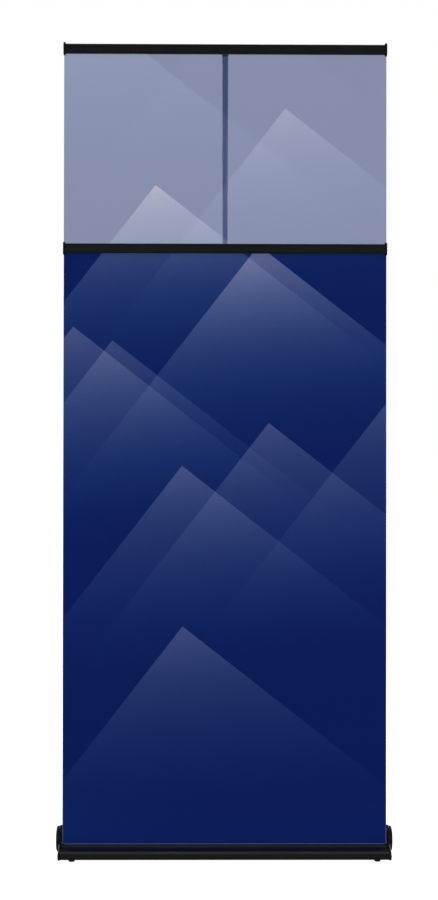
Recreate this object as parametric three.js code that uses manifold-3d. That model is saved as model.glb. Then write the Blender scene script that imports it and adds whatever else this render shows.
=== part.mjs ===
// A roll-up banner stand with two tiers, in millimetres, +Z up.
// A spring roller in a wide teardrop cassette holds the opaque lower banner. A mid rail clamps the top of
// that banner and the foot of a see-through header panel, and a snap-open top rail clamps the header's top
// edge. A telescopic pole behind the banner carries the top rail. The stand is set lower by sliding the pole
// in, while the roller winds the lower banner back into the cassette.
// The origin is on the floor at the centre of the base. The front faces -Y.
import * as THREE from "three";
import { mergeVertices } from "three/addons/utils/BufferGeometryUtils.js";
import Module from "manifold-3d";

const wasm = await Module();
wasm.setup();

// ---- Driving dimensions -------------------------------------------------------------------------------
const SHEET_WIDTH = 850; // width of the banner and of the header panel
const SHEET_THICKNESS = 0.5;
const TOP_RAIL_HEIGHT = 2128; // height of the top rail's middle above the floor
const TIER_DROP = 527; // from the middle of the top rail down to the middle of the mid rail
const LEAN_DEG = 0.8; // the banner leans back from the cassette to the pole head
const GAP = 0.3; // between pieces that touch or clamp each other
const RUNNING_GAP = 0.6; // between pieces that turn or slide past each other

// Cassette
const BASE_DEPTH = 170;
const END_ROOM = 3; // from the sheet's edge out to the end of the extrusion
const WALL = 2;
const FOOT_HEIGHT = 6;
const NOSE_DEPTH = 58; // from the front of the cassette back to the banner
const NOSE_HEIGHT = 31;
const LIP_HEIGHT = 35;
const SLOT_FRONT = 3.6; // from the banner forward to the lip
const SLOT_REAR = 3.5; // from the banner back to the hump's front wall
const HUMP_HEADROOM = 25; // from the wound banner up to the hump's crest
const HUMP_FOOT = 52; // lower edge of the hump's front wall, over the slot
const TAIL_HEIGHT = 22; // height of the upright back edge
const RIB_HEIGHT = 16; // top of the ribs that take the feet's screws
const RIB_WIDTH = 10;
const PORT_RADIUS = 4.8; // the round ports that take the end caps' screws
const CAP_THICKNESS = 14; // at the middle of the dome
const CAP_FLANGE = 6.3;
const CAP_OVERHANG = 1.5; // how far the cap stands outside the extrusion all round
const DOME_RADIUS = 34.5;
const HUB_RADIUS = 12;
const HUB_DEPTH = 9; // depth of the roller's pocket in the cap
const FOOT_INSET = 27; // from the sheet's edge in to the foot's middle
const FRONT_FOOT_SETBACK = 14;
const REAR_FOOT_SETBACK = 16;
const FOOT_RADIUS = 9;
const FOOT_SOLE_RADIUS = 7;
const FOOT_RECESS = 2.8; // depth of the screw's recess in the sole

// Roller
const ROLLER_HEIGHT = 35;
const ROLLER_RADIUS = 15;
const ROLLER_WALL = 1.5;
const ROLL_RADIUS = 20; // outside of the wound banner
const PLUG_FLANGE = 2.5;
const PLUG_DEPTH = 20;
const JOURNAL_RADIUS = 5;
const BUSH_WALL = 2.8;
const SPRING_LENGTH = 204;
const SPRING_TURNS = 12;
const SPRING_RADIUS = 8;
const SPRING_WIRE = 1;

// Rails
const RAIL_HEIGHT = 25;
const RAIL_WALL = 1.7;
const RAIL_FRONT = 5.5; // from the sheet forward to the rail's front face
const RAIL_BACK = 8.5; // from the sheet back to the rail's rear face
const RAIL_SLOT = 6; // width of the T-slot in the rail's back
const RAIL_CAP_THICKNESS = 5.7;
const RAIL_CAP_WALL = 1.6;
const RAIL_CAP_LIP = 4.5; // how far the cap stands above and below the rail
const RAIL_CAP_DEPTH = 20;
const RAIL_CAP_ROUND = 7;
const BEAD_RADIUS = 1.3; // the snap hinge along the top rail
const BEAD_NECK = 1.2;
const HEADER_TOP_GAP = 2.1; // from the bead down to the header panel's top edge
const MID_SHEET_GAP = 4; // from the mid rail's screws to each sheet's edge
const MID_SCREW_COUNT = 5;
const MID_SCREW_PITCH = 190;

// Pole
const POLE_RADIUS = 9.5;
const POLE_WALL = 1.2;
const UPPER_TUBE_WALL = 1.1;
const SOCKET_WALL = 4.2;
const SOCKET_SPACE = 8; // from the wound banner back to the pole's socket
const POLE_JOINT_HEIGHT = 770;
const FERRULE_FLANGE = 1.2;
const FERRULE_REACH = 45; // how far the ferrule goes into each tube
const FOOT_PLUG = 4;
const LOCK_HEIGHT = 1500; // top of the middle tube
const UPPER_TUBE_OVERLAP = 105; // how far the upper tube reaches into the middle tube
const LOCK_NECK = 14; // how far the lock collar's neck stands above the middle tube
const LOCK_NUT_HEIGHT = 28;
const FLUTES = 12; // grip flutes round the twist nut
const HEAD_FLANGE = 9;
const PIN_RADIUS = 4; // the spigot on the pole's head
const EYE_WALL = 5;
const EYE_HALF = 4; // half the height of the bracket's eye
const POLE_SIDES = 24; // facets round each tube

// Screws
const SHANK_RADIUS = 1.6;
const SCREW_REACH = 14; // how far a cap screw goes into its port
const SCREW_HEAD_RADIUS = 3.4;
const SCREW_HEAD_HEIGHT = 2.2;
const SCREW_SINK = 1; // how deep a cap screw's head sits in its spot face

// ---- Derived places -----------------------------------------------------------------------------------
const LEAN = THREE.MathUtils.degToRad(LEAN_DEG);
const SHEET_END = SHEET_WIDTH / 2;
const CLAMP_FACE = SHEET_THICKNESS / 2 + GAP; // from the sheet's middle to each clamping face
const BANNER_Y = NOSE_DEPTH - BASE_DEPTH / 2;
const TAIL_DEPTH = BASE_DEPTH - NOSE_DEPTH;
const SHELL_END = SHEET_END + END_ROOM;
const FLOOR_TOP = FOOT_HEIGHT + WALL;
const ROLLER_Y = BANNER_Y + ROLL_RADIUS + CLAMP_FACE;
const HUMP_HEIGHT = ROLLER_HEIGHT + ROLL_RADIUS + HUMP_HEADROOM;
const HUMP_CREST = ROLL_RADIUS + 10; // from the banner back to the crest
const ROLLER_END = SHEET_END - 1;
const ROLLER_BORE = ROLLER_RADIUS - ROLLER_WALL;
const PLUG_FACE = ROLLER_END + GAP + PLUG_FLANGE;
const HUB_START = PLUG_FACE + RUNNING_GAP;
const POCKET_END = SHELL_END + HUB_DEPTH;
const BUSH_RADIUS = JOURNAL_RADIUS + BUSH_WALL;
const UPPER_TUBE_RADIUS = POLE_RADIUS - POLE_WALL - GAP;
const SOCKET_RADIUS = POLE_RADIUS + GAP + SOCKET_WALL;
const SOCKET_TOP = HUMP_HEIGHT + 2;
const POLE_SETBACK = 2 * ROLL_RADIUS + SOCKET_SPACE + SOCKET_RADIUS; // from the banner at the cassette
const POLE_Y = BANNER_Y + POLE_SETBACK;
const TOP_RAIL_UP = (TOP_RAIL_HEIGHT - ROLLER_HEIGHT) / Math.cos(LEAN); // measured up the leaning sheet
const MID_RAIL_UP = TOP_RAIL_UP - TIER_DROP / Math.cos(LEAN);
const RAIL_CAP_END = SHEET_END + GAP + RAIL_CAP_WALL;
const RAIL_CAP_INNER = RAIL_CAP_END - RAIL_CAP_THICKNESS;
const RAIL_END = RAIL_CAP_INNER + (RAIL_CAP_THICKNESS - RAIL_CAP_WALL) / 2;
const FRONT_FOOT_Y = FRONT_FOOT_SETBACK - BASE_DEPTH / 2;
const REAR_FOOT_Y = BASE_DEPTH / 2 - REAR_FOOT_SETBACK;

/** The end caps' screws: name, distance back from the banner, and height. */
const SCREW_PORTS = [
  ["hump_front", SLOT_REAR + 9, HUMP_HEIGHT - 14],
  ["hump_rear", HUMP_CREST + 12, HUMP_HEIGHT - 6.5],
  ["nose", 6 - NOSE_DEPTH, 15],
  ["tail", TAIL_DEPTH - 6, 15],
];

/** The four feet: name, x and y. */
const FEET = [
  ["front_left", FOOT_INSET - SHEET_END, FRONT_FOOT_Y],
  ["front_right", SHEET_END - FOOT_INSET, FRONT_FOOT_Y],
  ["rear_left", FOOT_INSET - SHEET_END, REAR_FOOT_Y],
  ["rear_right", SHEET_END - FOOT_INSET, REAR_FOOT_Y],
];

// ---- Finishes -----------------------------------------------------------------------------------------
/** A plain material of one colour. */
function finish(color, roughness, metalness) {
  return new THREE.MeshStandardMaterial({ color, roughness, metalness });
}
const BLACK_ANODISED = finish(0x17181b, 0.42, 0.75);
const BLACK_PLASTIC = finish(0x0c0d0f, 0.38, 0);
const BLACK_RUBBER = finish(0x0a0a0b, 0.85, 0);
const NICKEL = finish(0xb9bcc0, 0.25, 1);
const SPRING_STEEL = finish(0x54585e, 0.4, 1);
const MILL_ALUMINIUM = finish(0xa9adb2, 0.4, 1);
const SILVER_ANODISED = finish(0x9fa1a4, 0.38, 0.9);
const PALE_NYLON = finish(0xd9d6cb, 0.55, 0);
const ZINC_STEEL = finish(0x8d9298, 0.45, 1);
const NAVY_PRINT = finish(0x0f1f5a, 0.6, 0);
const HEADER_FILM = finish(0x8a93b0, 0.35, 0);

// ---- Solid helpers ------------------------------------------------------------------------------------
/** Turns a closed three.js geometry into a solid. */
function solid(geometry) {
  const bare = new THREE.BufferGeometry().setAttribute("position", geometry.getAttribute("position"));
  bare.setIndex(geometry.index);
  const merged = mergeVertices(bare, 1e-4);
  return new wasm.Manifold(
    new wasm.Mesh({
      numProp: 3,
      vertProperties: new Float32Array(merged.attributes.position.array),
      triVerts: new Uint32Array(merged.index.array),
    }),
  );
}

/** Turns a solid back into a three.js geometry. */
function geometryOf(made) {
  const mesh = made.getMesh();
  const places = new Float32Array(mesh.numVert * 3);
  for (let i = 0; i < mesh.numVert; i++) {
    places.set(mesh.vertProperties.subarray(i * mesh.numProp, i * mesh.numProp + 3), i * 3);
  }
  const geometry = new THREE.BufferGeometry().setAttribute("position", new THREE.BufferAttribute(places, 3));
  geometry.setIndex(new THREE.BufferAttribute(new Uint32Array(mesh.triVerts), 1));
  geometry.computeVertexNormals();
  return geometry;
}

const join = (first, ...rest) => rest.reduce((sum, piece) => sum.add(piece), first);
const cut = (first, ...rest) => rest.reduce((sum, piece) => sum.subtract(piece), first);

/** Extrusion options for rounded edges that stay inside the outline. */
function rounded(depth, size, segments) {
  return {
    bevelEnabled: true,
    bevelThickness: depth,
    bevelSize: size,
    bevelOffset: -size,
    bevelSegments: segments,
  };
}

/** An outline in (y, z), extruded along X from x0 to x1. Rounded edges add to both ends. */
function prismX(shape, x0, x1, bevel = {}) {
  const options = { depth: x1 - x0, bevelEnabled: false, curveSegments: 6, ...bevel };
  const geometry = new THREE.ExtrudeGeometry(shape, options);
  const turn = new THREE.Matrix4().makeBasis(
    new THREE.Vector3(0, 1, 0),
    new THREE.Vector3(0, 0, 1),
    new THREE.Vector3(1, 0, 0),
  );
  return solid(geometry.applyMatrix4(turn).translate(x0, 0, 0));
}

/** A block between two corners. */
function block(x0, x1, y0, y1, z0, z1) {
  const geometry = new THREE.BoxGeometry(x1 - x0, y1 - y0, z1 - z0);
  return solid(geometry.translate((x0 + x1) / 2, (y0 + y1) / 2, (z0 + z1) / 2));
}

/** A solid of revolution about +Z at (x, y). The profile is [radius, height] pairs, anticlockwise. */
function turnedZ(profile, x, y, sides = 20) {
  const points = profile.map(([r, z]) => new THREE.Vector2(r, z));
  const onAxis = profile[0][0] === 0 && profile.at(-1)[0] === 0;
  if (!onAxis) points.push(points[0].clone());
  const geometry = new THREE.LatheGeometry(points, sides);
  return solid(geometry.rotateX(Math.PI / 2).translate(x, y, 0));
}

/** A solid of revolution about +X at (y, z). The profile is [radius, x] pairs, anticlockwise. */
function turnedX(profile, y, z, sides = 20) {
  const points = profile.map(([r, x]) => new THREE.Vector2(r, x));
  const onAxis = profile[0][0] === 0 && profile.at(-1)[0] === 0;
  if (!onAxis) points.push(points[0].clone());
  const geometry = new THREE.LatheGeometry(points, sides);
  return solid(geometry.rotateZ(-Math.PI / 2).translate(0, y, z));
}

const rodOutline = (radius, from, to) => [[0, from], [radius, from], [radius, to], [0, to]];
const ringOutline = (outer, inner, from, to) => [[inner, from], [outer, from], [outer, to], [inner, to]];
const rodZ = (radius, z0, z1, x, y, sides) => turnedZ(rodOutline(radius, z0, z1), x, y, sides);
const rodX = (radius, x0, x1, y, z, sides) => turnedX(rodOutline(radius, x0, x1), y, z, sides);

/** A closed outline through [y, z] points. */
function outlineOf(points) {
  return new THREE.Shape(points.map(([y, z]) => new THREE.Vector2(y, z)));
}

const stand = new THREE.Group();
const leaning = new THREE.Group(); // the rails and sheets, which lean back from the roller to the pole head
leaning.position.set(0, BANNER_Y, ROLLER_HEIGHT);
leaning.rotation.x = -LEAN;
stand.add(leaning);

/** Adds a named piece to a group. */
function piece(name, made, material, group = stand) {
  const mesh = new THREE.Mesh(geometryOf(made), material);
  mesh.name = name;
  group.add(mesh);
}

// ---- Cassette -----------------------------------------------------------------------------------------
/** The cassette's side outline, moved inwards by inset: a low nose, then a hump that falls to the tail. */
function cassetteOutline(inset) {
  const front = BANNER_Y - NOSE_DEPTH + inset;
  const rear = BANNER_Y + TAIL_DEPTH - inset;
  const crest = BANNER_Y + HUMP_CREST;
  const top = HUMP_HEIGHT - inset;
  const nose = NOSE_HEIGHT - inset;
  const humpFront = BANNER_Y + SLOT_REAR + inset;
  const sole = FOOT_HEIGHT + inset;
  const shape = new THREE.Shape();
  shape.moveTo(rear, sole);
  shape.lineTo(rear, TAIL_HEIGHT);
  shape.bezierCurveTo(rear - 8, TAIL_HEIGHT + 30, crest + 36 - inset, top, crest, top);
  shape.bezierCurveTo(crest - 14 + inset, top, humpFront, top - 10, humpFront, HUMP_FOOT);
  shape.lineTo(humpFront, nose);
  shape.lineTo(front + 25, nose);
  shape.bezierCurveTo(front + 10, nose, front, nose - 7, front, 12);
  shape.lineTo(front, sole);
  return shape;
}

/** The raised lip along the front of the slot. */
function lipOutline() {
  const back = BANNER_Y - SLOT_FRONT;
  return outlineOf([
    [back - 8, NOSE_HEIGHT - 1],
    [back, NOSE_HEIGHT - WALL],
    [back, LIP_HEIGHT - 1],
    [back - 1, LIP_HEIGHT],
    [back - 2.5, LIP_HEIGHT - 0.6],
    [back - 4.5, NOSE_HEIGHT + 2],
  ]);
}

const socketHole = rodZ(SOCKET_RADIUS + GAP, FLOOR_TOP, SOCKET_TOP + 1, 0, POLE_Y, POLE_SIDES);
const footBores = () => FEET.map(([, x, y]) => rodZ(SHANK_RADIUS + GAP, -1, RIB_HEIGHT + 1, x, y, 8));

function cassetteShell() {
  const long = SHELL_END + 1;
  const inside = prismX(cassetteOutline(WALL), -long, long);
  const walls = cut(prismX(cassetteOutline(0), -SHELL_END, SHELL_END), inside);
  const slotBack = BANNER_Y + SLOT_REAR + WALL + 2;
  const slot = block(-long, long, BANNER_Y - SLOT_FRONT, slotBack, NOSE_HEIGHT - WALL - 1, HUMP_FOOT);
  const side = RIB_WIDTH / 2;
  const ribs = [FRONT_FOOT_Y, REAR_FOOT_Y].map((y) =>
    block(-SHELL_END, SHELL_END, y - side, y + side, FLOOR_TOP - 1, RIB_HEIGHT),
  );
  const lip = prismX(lipOutline(), -SHELL_END, SHELL_END);
  const ports = SCREW_PORTS.map(([, y, z]) => rodX(PORT_RADIUS, -SHELL_END, SHELL_END, BANNER_Y + y, z, 12));
  const bores = SCREW_PORTS.map(([, y, z]) => rodX(SHANK_RADIUS + GAP, -long, long, BANNER_Y + y, z, 8));
  return cut(join(cut(walls, slot), lip, ...ribs, ...ports), ...bores, ...footBores(), socketHole);
}

piece("cassette_shell", cassetteShell(), BLACK_ANODISED);

for (const [name, x, y] of FEET) {
  const pad = turnedZ(
    [
      [0, 0],
      [FOOT_SOLE_RADIUS, 0],
      [FOOT_RADIUS, FOOT_HEIGHT - 1.5],
      [FOOT_RADIUS, FOOT_HEIGHT - GAP],
      [0, FOOT_HEIGHT - GAP],
    ],
    x,
    y,
  );
  const recess = rodZ(SCREW_HEAD_RADIUS + GAP, -1, FOOT_RECESS, x, y, 12);
  const bore = rodZ(SHANK_RADIUS + GAP, -1, FOOT_HEIGHT + 1, x, y, 8);
  piece(name + "_foot", cut(pad, recess, bore), BLACK_RUBBER);
  const headTop = FOOT_RECESS - GAP;
  const screw = join(
    rodZ(SCREW_HEAD_RADIUS, headTop - SCREW_HEAD_HEIGHT, headTop, x, y, 12),
    rodZ(SHANK_RADIUS, headTop - 0.5, RIB_HEIGHT - 1, x, y, 8),
  );
  piece(name + "_foot_screw", screw, ZINC_STEEL);
}

/** The end cap's outline, CAP_OVERHANG outside the cassette, with a swept neck in front of the slot. */
function capOutline() {
  const front = BANNER_Y - NOSE_DEPTH - CAP_OVERHANG;
  const rear = BANNER_Y + TAIL_DEPTH + CAP_OVERHANG;
  const top = HUMP_HEIGHT + CAP_OVERHANG;
  const nose = NOSE_HEIGHT + CAP_OVERHANG;
  const sole = FOOT_HEIGHT - CAP_OVERHANG;
  const crest = BANNER_Y + HUMP_CREST;
  const shape = new THREE.Shape();
  shape.moveTo(rear, sole);
  shape.lineTo(rear, TAIL_HEIGHT);
  shape.bezierCurveTo(rear - 8, TAIL_HEIGHT + 30, crest + 36, top, crest, top);
  shape.bezierCurveTo(crest - 20, top, BANNER_Y - 2, top - 12, BANNER_Y - 3, HUMP_FOOT - 4);
  shape.bezierCurveTo(BANNER_Y - 5, nose + 9, BANNER_Y - 16, nose + 3, BANNER_Y - 30, nose);
  shape.bezierCurveTo(front + 9, nose - 1, front, nose - 8, front, 13);
  shape.lineTo(front, sole);
  return shape;
}

/** The right-hand end cap: a rounded flange, a domed disc over the hump and a hub with a pocket. */
function endCap(pocket) {
  const edge = 5;
  const rim = rounded(edge, edge, 2);
  const dome = rounded(edge, 2 * edge, 2);
  const domeY = BANNER_Y + HUMP_CREST - 1;
  const disc = new THREE.Shape().absarc(domeY, HUMP_HEIGHT - DOME_RADIUS, DOME_RADIUS, 0, Math.PI * 2);
  const faceX = SHELL_END + CAP_FLANGE;
  const domeX = SHELL_END + CAP_THICKNESS;
  const outside = block(SHELL_END + GAP, domeX + 1, -BASE_DEPTH, BASE_DEPTH, 0, HUMP_HEIGHT * 2);
  const flange = prismX(capOutline(), SHELL_END - edge, faceX - edge, rim).intersect(outside);
  const boss = prismX(disc, SHELL_END - edge, domeX - edge, dome).intersect(outside);
  const hub = rodX(HUB_RADIUS, HUB_START, SHELL_END + 1, ROLLER_Y, ROLLER_HEIGHT);
  const holes = SCREW_PORTS.map(([, y, z]) =>
    join(
      rodX(SHANK_RADIUS + GAP, SHELL_END - 1, domeX, BANNER_Y + y, z, 8),
      rodX(SCREW_HEAD_RADIUS + 2 * GAP, faceX - SCREW_SINK, domeX + 1, BANNER_Y + y, z, 12),
    ),
  );
  return cut(join(flange, boss, hub), ...holes, pocket);
}

const mirrored = (made) => made.mirror([1, 0, 0]);
const bushPocket = rodX(BUSH_RADIUS + GAP, HUB_START - 1, POCKET_END, ROLLER_Y, ROLLER_HEIGHT);
const axlePocket = block(
  HUB_START - 1,
  POCKET_END,
  ROLLER_Y - JOURNAL_RADIUS - GAP,
  ROLLER_Y + JOURNAL_RADIUS + GAP,
  ROLLER_HEIGHT - JOURNAL_RADIUS - GAP,
  ROLLER_HEIGHT + JOURNAL_RADIUS + GAP,
);
piece("left_end_cap", mirrored(endCap(bushPocket)), BLACK_PLASTIC);
piece("right_end_cap", endCap(axlePocket), BLACK_PLASTIC);

for (const [name, y, z] of SCREW_PORTS) {
  const seat = SHELL_END + CAP_FLANGE - SCREW_SINK + GAP;
  const screw = join(
    rodX(SCREW_HEAD_RADIUS, seat, seat + SCREW_HEAD_HEIGHT, BANNER_Y + y, z, 12),
    rodX(SHANK_RADIUS, SHELL_END - SCREW_REACH, seat + 0.5, BANNER_Y + y, z, 8),
  );
  piece("left_cap_screw_" + name, mirrored(screw), NICKEL);
  piece("right_cap_screw_" + name, screw, NICKEL);
}

// ---- Spring roller ------------------------------------------------------------------------------------
/** A ring about the roller's axis. */
function ringX(outer, inner, x0, x1, sides) {
  return turnedX(ringOutline(outer, inner, x0, x1), ROLLER_Y, ROLLER_HEIGHT, sides);
}
const roundX = (radius, x0, x1, sides) => rodX(radius, x0, x1, ROLLER_Y, ROLLER_HEIGHT, sides);

piece("roller_tube", ringX(ROLLER_RADIUS, ROLLER_BORE, -ROLLER_END, ROLLER_END, POLE_SIDES), MILL_ALUMINIUM);
piece("wound_banner", ringX(ROLL_RADIUS, ROLLER_RADIUS + GAP, -SHEET_END, SHEET_END, 28), NAVY_PRINT);

const plugBody = join(
  roundX(ROLLER_RADIUS, ROLLER_END + GAP, PLUG_FACE, POLE_SIDES),
  roundX(ROLLER_BORE - GAP, ROLLER_END - PLUG_DEPTH, ROLLER_END + GAP + 0.5, POLE_SIDES),
);
const journal = roundX(JOURNAL_RADIUS, PLUG_FACE - 1, POCKET_END - 2 * GAP);
piece("roller_idler_plug", mirrored(join(plugBody, journal)), PALE_NYLON);
const axleClearance = roundX(JOURNAL_RADIUS + RUNNING_GAP, ROLLER_END - PLUG_DEPTH - 1, PLUG_FACE + 1);
piece("roller_drive_plug", cut(plugBody, axleClearance), PALE_NYLON);
const bush = ringX(BUSH_RADIUS, JOURNAL_RADIUS + RUNNING_GAP / 2, HUB_START, POCKET_END - GAP);
piece("idler_bush", mirrored(bush), PALE_NYLON);

const springStart = ROLLER_END - PLUG_DEPTH - GAP - SPRING_LENGTH;

/** The fixed axle: square in the right end cap, then round, with the spring's anchor at its inner end. */
function rollerAxle() {
  const square = block(
    PLUG_FACE + 1,
    POCKET_END - GAP,
    ROLLER_Y - JOURNAL_RADIUS,
    ROLLER_Y + JOURNAL_RADIUS,
    ROLLER_HEIGHT - JOURNAL_RADIUS,
    ROLLER_HEIGHT + JOURNAL_RADIUS,
  );
  const spindle = roundX(JOURNAL_RADIUS, springStart - 5, PLUG_FACE + 2);
  const anchor = roundX(SPRING_RADIUS + SPRING_WIRE, springStart - 7, springStart - GAP);
  return join(square, spindle, anchor);
}
piece("roller_axle", rollerAxle(), ZINC_STEEL);

/** The torsion spring round the axle, wound as a plain helix. */
class SpringLine extends THREE.Curve {
  getPoint(t, target = new THREE.Vector3()) {
    const angle = t * SPRING_TURNS * 2 * Math.PI;
    const x = springStart + SPRING_WIRE + (SPRING_LENGTH - 2 * SPRING_WIRE) * t;
    const y = ROLLER_Y + SPRING_RADIUS * Math.cos(angle);
    return target.set(x, y, ROLLER_HEIGHT + SPRING_RADIUS * Math.sin(angle));
  }
}
const wireSection = new THREE.Shape(
  Array.from({ length: 5 }, (_, i) => {
    const angle = (i / 5) * 2 * Math.PI;
    return new THREE.Vector2(SPRING_WIRE * Math.cos(angle), SPRING_WIRE * Math.sin(angle));
  }),
);
const coiling = { extrudePath: new SpringLine(), steps: SPRING_TURNS * 8, bevelEnabled: false };
piece("torsion_spring", solid(new THREE.ExtrudeGeometry(wireSection, coiling)), SPRING_STEEL);

// ---- Rails and sheets, in the leaning frame, where z runs up the sheet --------------------------------
const half = RAIL_HEIGHT / 2;
const BEAD_Z = half - 2 * BEAD_RADIUS; // height of the snap hinge above the rail's middle
const BEAD_Y = 2 * BEAD_RADIUS - RAIL_FRONT;
const placed = (made, up) => made.translate([0, 0, up]);

/** The back channel both rails share: a clamping wall, and a T-slot open to the rear. */
function backChannel() {
  const past = RAIL_END + 1;
  const inner = RAIL_BACK - RAIL_WALL;
  const body = block(-RAIL_END, RAIL_END, CLAMP_FACE, RAIL_BACK, -half, half);
  const hollow = block(-past, past, CLAMP_FACE + RAIL_WALL, inner, RAIL_WALL - half, half - RAIL_WALL);
  const mouth = block(-past, past, inner - 1, RAIL_BACK + 1, -RAIL_SLOT / 2, RAIL_SLOT / 2);
  return cut(body, hollow, mouth);
}

/** The top rail's back: the channel, with a neck and a bead that the jaw turns on. */
function topRailBack() {
  const low = BEAD_Z - BEAD_NECK / 2;
  const neck = block(-RAIL_END, RAIL_END, BEAD_Y, CLAMP_FACE + 1, low, low + BEAD_NECK);
  return join(backChannel(), neck, rodX(BEAD_RADIUS, -RAIL_END, RAIL_END, BEAD_Y, BEAD_Z, 20));
}

/** The jaw: a hook that wraps the bead from the front, a face plate, and a leg that grips the sheet. */
function topRailJaw() {
  const end = RAIL_CAP_INNER - GAP;
  const inner = BEAD_RADIUS + GAP;
  const outer = 2 * BEAD_RADIUS;
  const from = THREE.MathUtils.degToRad(80);
  const to = THREE.MathUtils.degToRad(280);
  const hook = new THREE.Shape();
  hook.absarc(BEAD_Y, BEAD_Z, outer, from, to, false);
  hook.absarc(BEAD_Y, BEAD_Z, inner, to, from, true);
  const plate = block(-end, end, -RAIL_FRONT, RAIL_WALL - RAIL_FRONT, -half, BEAD_Z);
  const grip = block(-end, end, -RAIL_FRONT, -CLAMP_FACE, -half, RAIL_WALL - half);
  const around = rodX(inner, -end - 1, end + 1, BEAD_Y, BEAD_Z, 24);
  return join(prismX(hook, -end, end), cut(plate, around), grip);
}

/** The mid rail's front bar, with a middle rib for its screws and a lip over each sheet's edge. */
function midRailFront() {
  const end = RAIL_END;
  const body = block(-end, end, -RAIL_FRONT, -CLAMP_FACE, -half, half);
  const rib = SHANK_RADIUS + RAIL_WALL;
  const groove = block(-end - 1, end + 1, RAIL_WALL - RAIL_FRONT, 0, rib, half - RAIL_WALL);
  return cut(body, groove, groove.mirror([0, 0, 1]), ...midScrewBores(RAIL_WALL / 2 - RAIL_FRONT));
}
const firstScrew = (-(MID_SCREW_COUNT - 1) / 2) * MID_SCREW_PITCH;
const MID_SCREW_X = Array.from({ length: MID_SCREW_COUNT }, (_, i) => firstScrew + i * MID_SCREW_PITCH);
const alongY = (made) => made.rotate([-90, 0, 0]); // turns a piece made about +Z to lie along +Y
const midScrewBores = (from) =>
  MID_SCREW_X.map((x) => alongY(rodZ(SHANK_RADIUS + GAP, from, CLAMP_FACE + RAIL_WALL + 1, x, 0, 8)));

/** A rail's right-hand end cap: a rounded shoe with a socket for the rail and a slot for the sheet. */
function railCap(frontBack) {
  const middle = (RAIL_BACK - RAIL_FRONT) / 2;
  const round = RAIL_CAP_ROUND;
  const y0 = middle - RAIL_CAP_DEPTH / 2;
  const y1 = middle + RAIL_CAP_DEPTH / 2;
  const z = half + RAIL_CAP_LIP;
  const shape = new THREE.Shape();
  shape.moveTo(y0 + round, -z);
  shape.lineTo(y1 - round, -z);
  shape.absarc(y1 - round, round - z, round, -Math.PI / 2, 0);
  shape.absarc(y1 - round, z - round, round, 0, Math.PI / 2);
  shape.absarc(y0 + round, z - round, round, Math.PI / 2, Math.PI);
  shape.absarc(y0 + round, round - z, round, Math.PI, Math.PI * 1.5);
  const soft = 1.2;
  const bevel = { ...rounded(soft, soft, 1), curveSegments: 3 };
  const body = prismX(shape, RAIL_CAP_INNER + soft, RAIL_CAP_END - soft, bevel);
  const seat = RAIL_END + GAP;
  const socket = block(0, seat, frontBack - GAP, RAIL_BACK + GAP, -half - GAP, half + GAP);
  const sheetSlot = block(0, SHEET_END + GAP, -CLAMP_FACE, CLAMP_FACE, -z - 1, z + 1);
  return cut(body, socket, sheetSlot);
}

piece("top_rail_back", placed(topRailBack(), TOP_RAIL_UP), BLACK_ANODISED, leaning);
piece("top_rail_jaw", placed(topRailJaw(), TOP_RAIL_UP), BLACK_ANODISED, leaning);
const midBack = cut(backChannel(), ...midScrewBores(0));
piece("mid_rail_back", placed(midBack, MID_RAIL_UP), BLACK_ANODISED, leaning);
piece("mid_rail_front", placed(midRailFront(), MID_RAIL_UP), BLACK_ANODISED, leaning);
const topCap = railCap(BEAD_Y - BEAD_RADIUS);
const midCap = railCap(-RAIL_FRONT);
piece("top_rail_left_cap", placed(mirrored(topCap), TOP_RAIL_UP), BLACK_PLASTIC, leaning);
piece("top_rail_right_cap", placed(topCap, TOP_RAIL_UP), BLACK_PLASTIC, leaning);
piece("mid_rail_left_cap", placed(mirrored(midCap), MID_RAIL_UP), BLACK_PLASTIC, leaning);
piece("mid_rail_right_cap", placed(midCap, MID_RAIL_UP), BLACK_PLASTIC, leaning);

MID_SCREW_X.forEach((x, i) => {
  const seat = CLAMP_FACE + RAIL_WALL + GAP;
  const screw = join(
    rodZ(RAIL_SLOT / 2 - GAP, seat, seat + SCREW_HEAD_HEIGHT, x, 0, 12),
    rodZ(SHANK_RADIUS, RAIL_WALL / 2 + GAP - RAIL_FRONT, seat + 0.5, x, 0, 8),
  );
  piece("mid_rail_screw_" + (i + 1), placed(alongY(screw), MID_RAIL_UP), NICKEL, leaning);
});

const thin = SHEET_THICKNESS / 2;
const bannerTop = MID_RAIL_UP - MID_SHEET_GAP;
const headerFoot = MID_RAIL_UP + MID_SHEET_GAP;
const headerTop = TOP_RAIL_UP + BEAD_Z - BEAD_RADIUS - HEADER_TOP_GAP;
piece("banner", block(-SHEET_END, SHEET_END, -thin, thin, 0, bannerTop), NAVY_PRINT, leaning);
piece("header_panel", block(-SHEET_END, SHEET_END, -thin, thin, headerFoot, headerTop), HEADER_FILM, leaning);

// ---- Pole ---------------------------------------------------------------------------------------------
const poleTurned = (profile) => turnedZ(profile, 0, POLE_Y, POLE_SIDES);
const poleRing = (outer, inner, z0, z1) => poleTurned(ringOutline(outer, inner, z0, z1));
const poleRod = (radius, z0, z1) => poleTurned(rodOutline(radius, z0, z1));
const POLE_BORE = POLE_RADIUS - POLE_WALL;
const UPPER_BORE = UPPER_TUBE_RADIUS - UPPER_TUBE_WALL;
const SOCKET_FLOOR = FLOOR_TOP + GAP + 3;
const poleFoot = SOCKET_FLOOR + GAP;
const tubeFoot = poleFoot + FOOT_PLUG + GAP;

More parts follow.
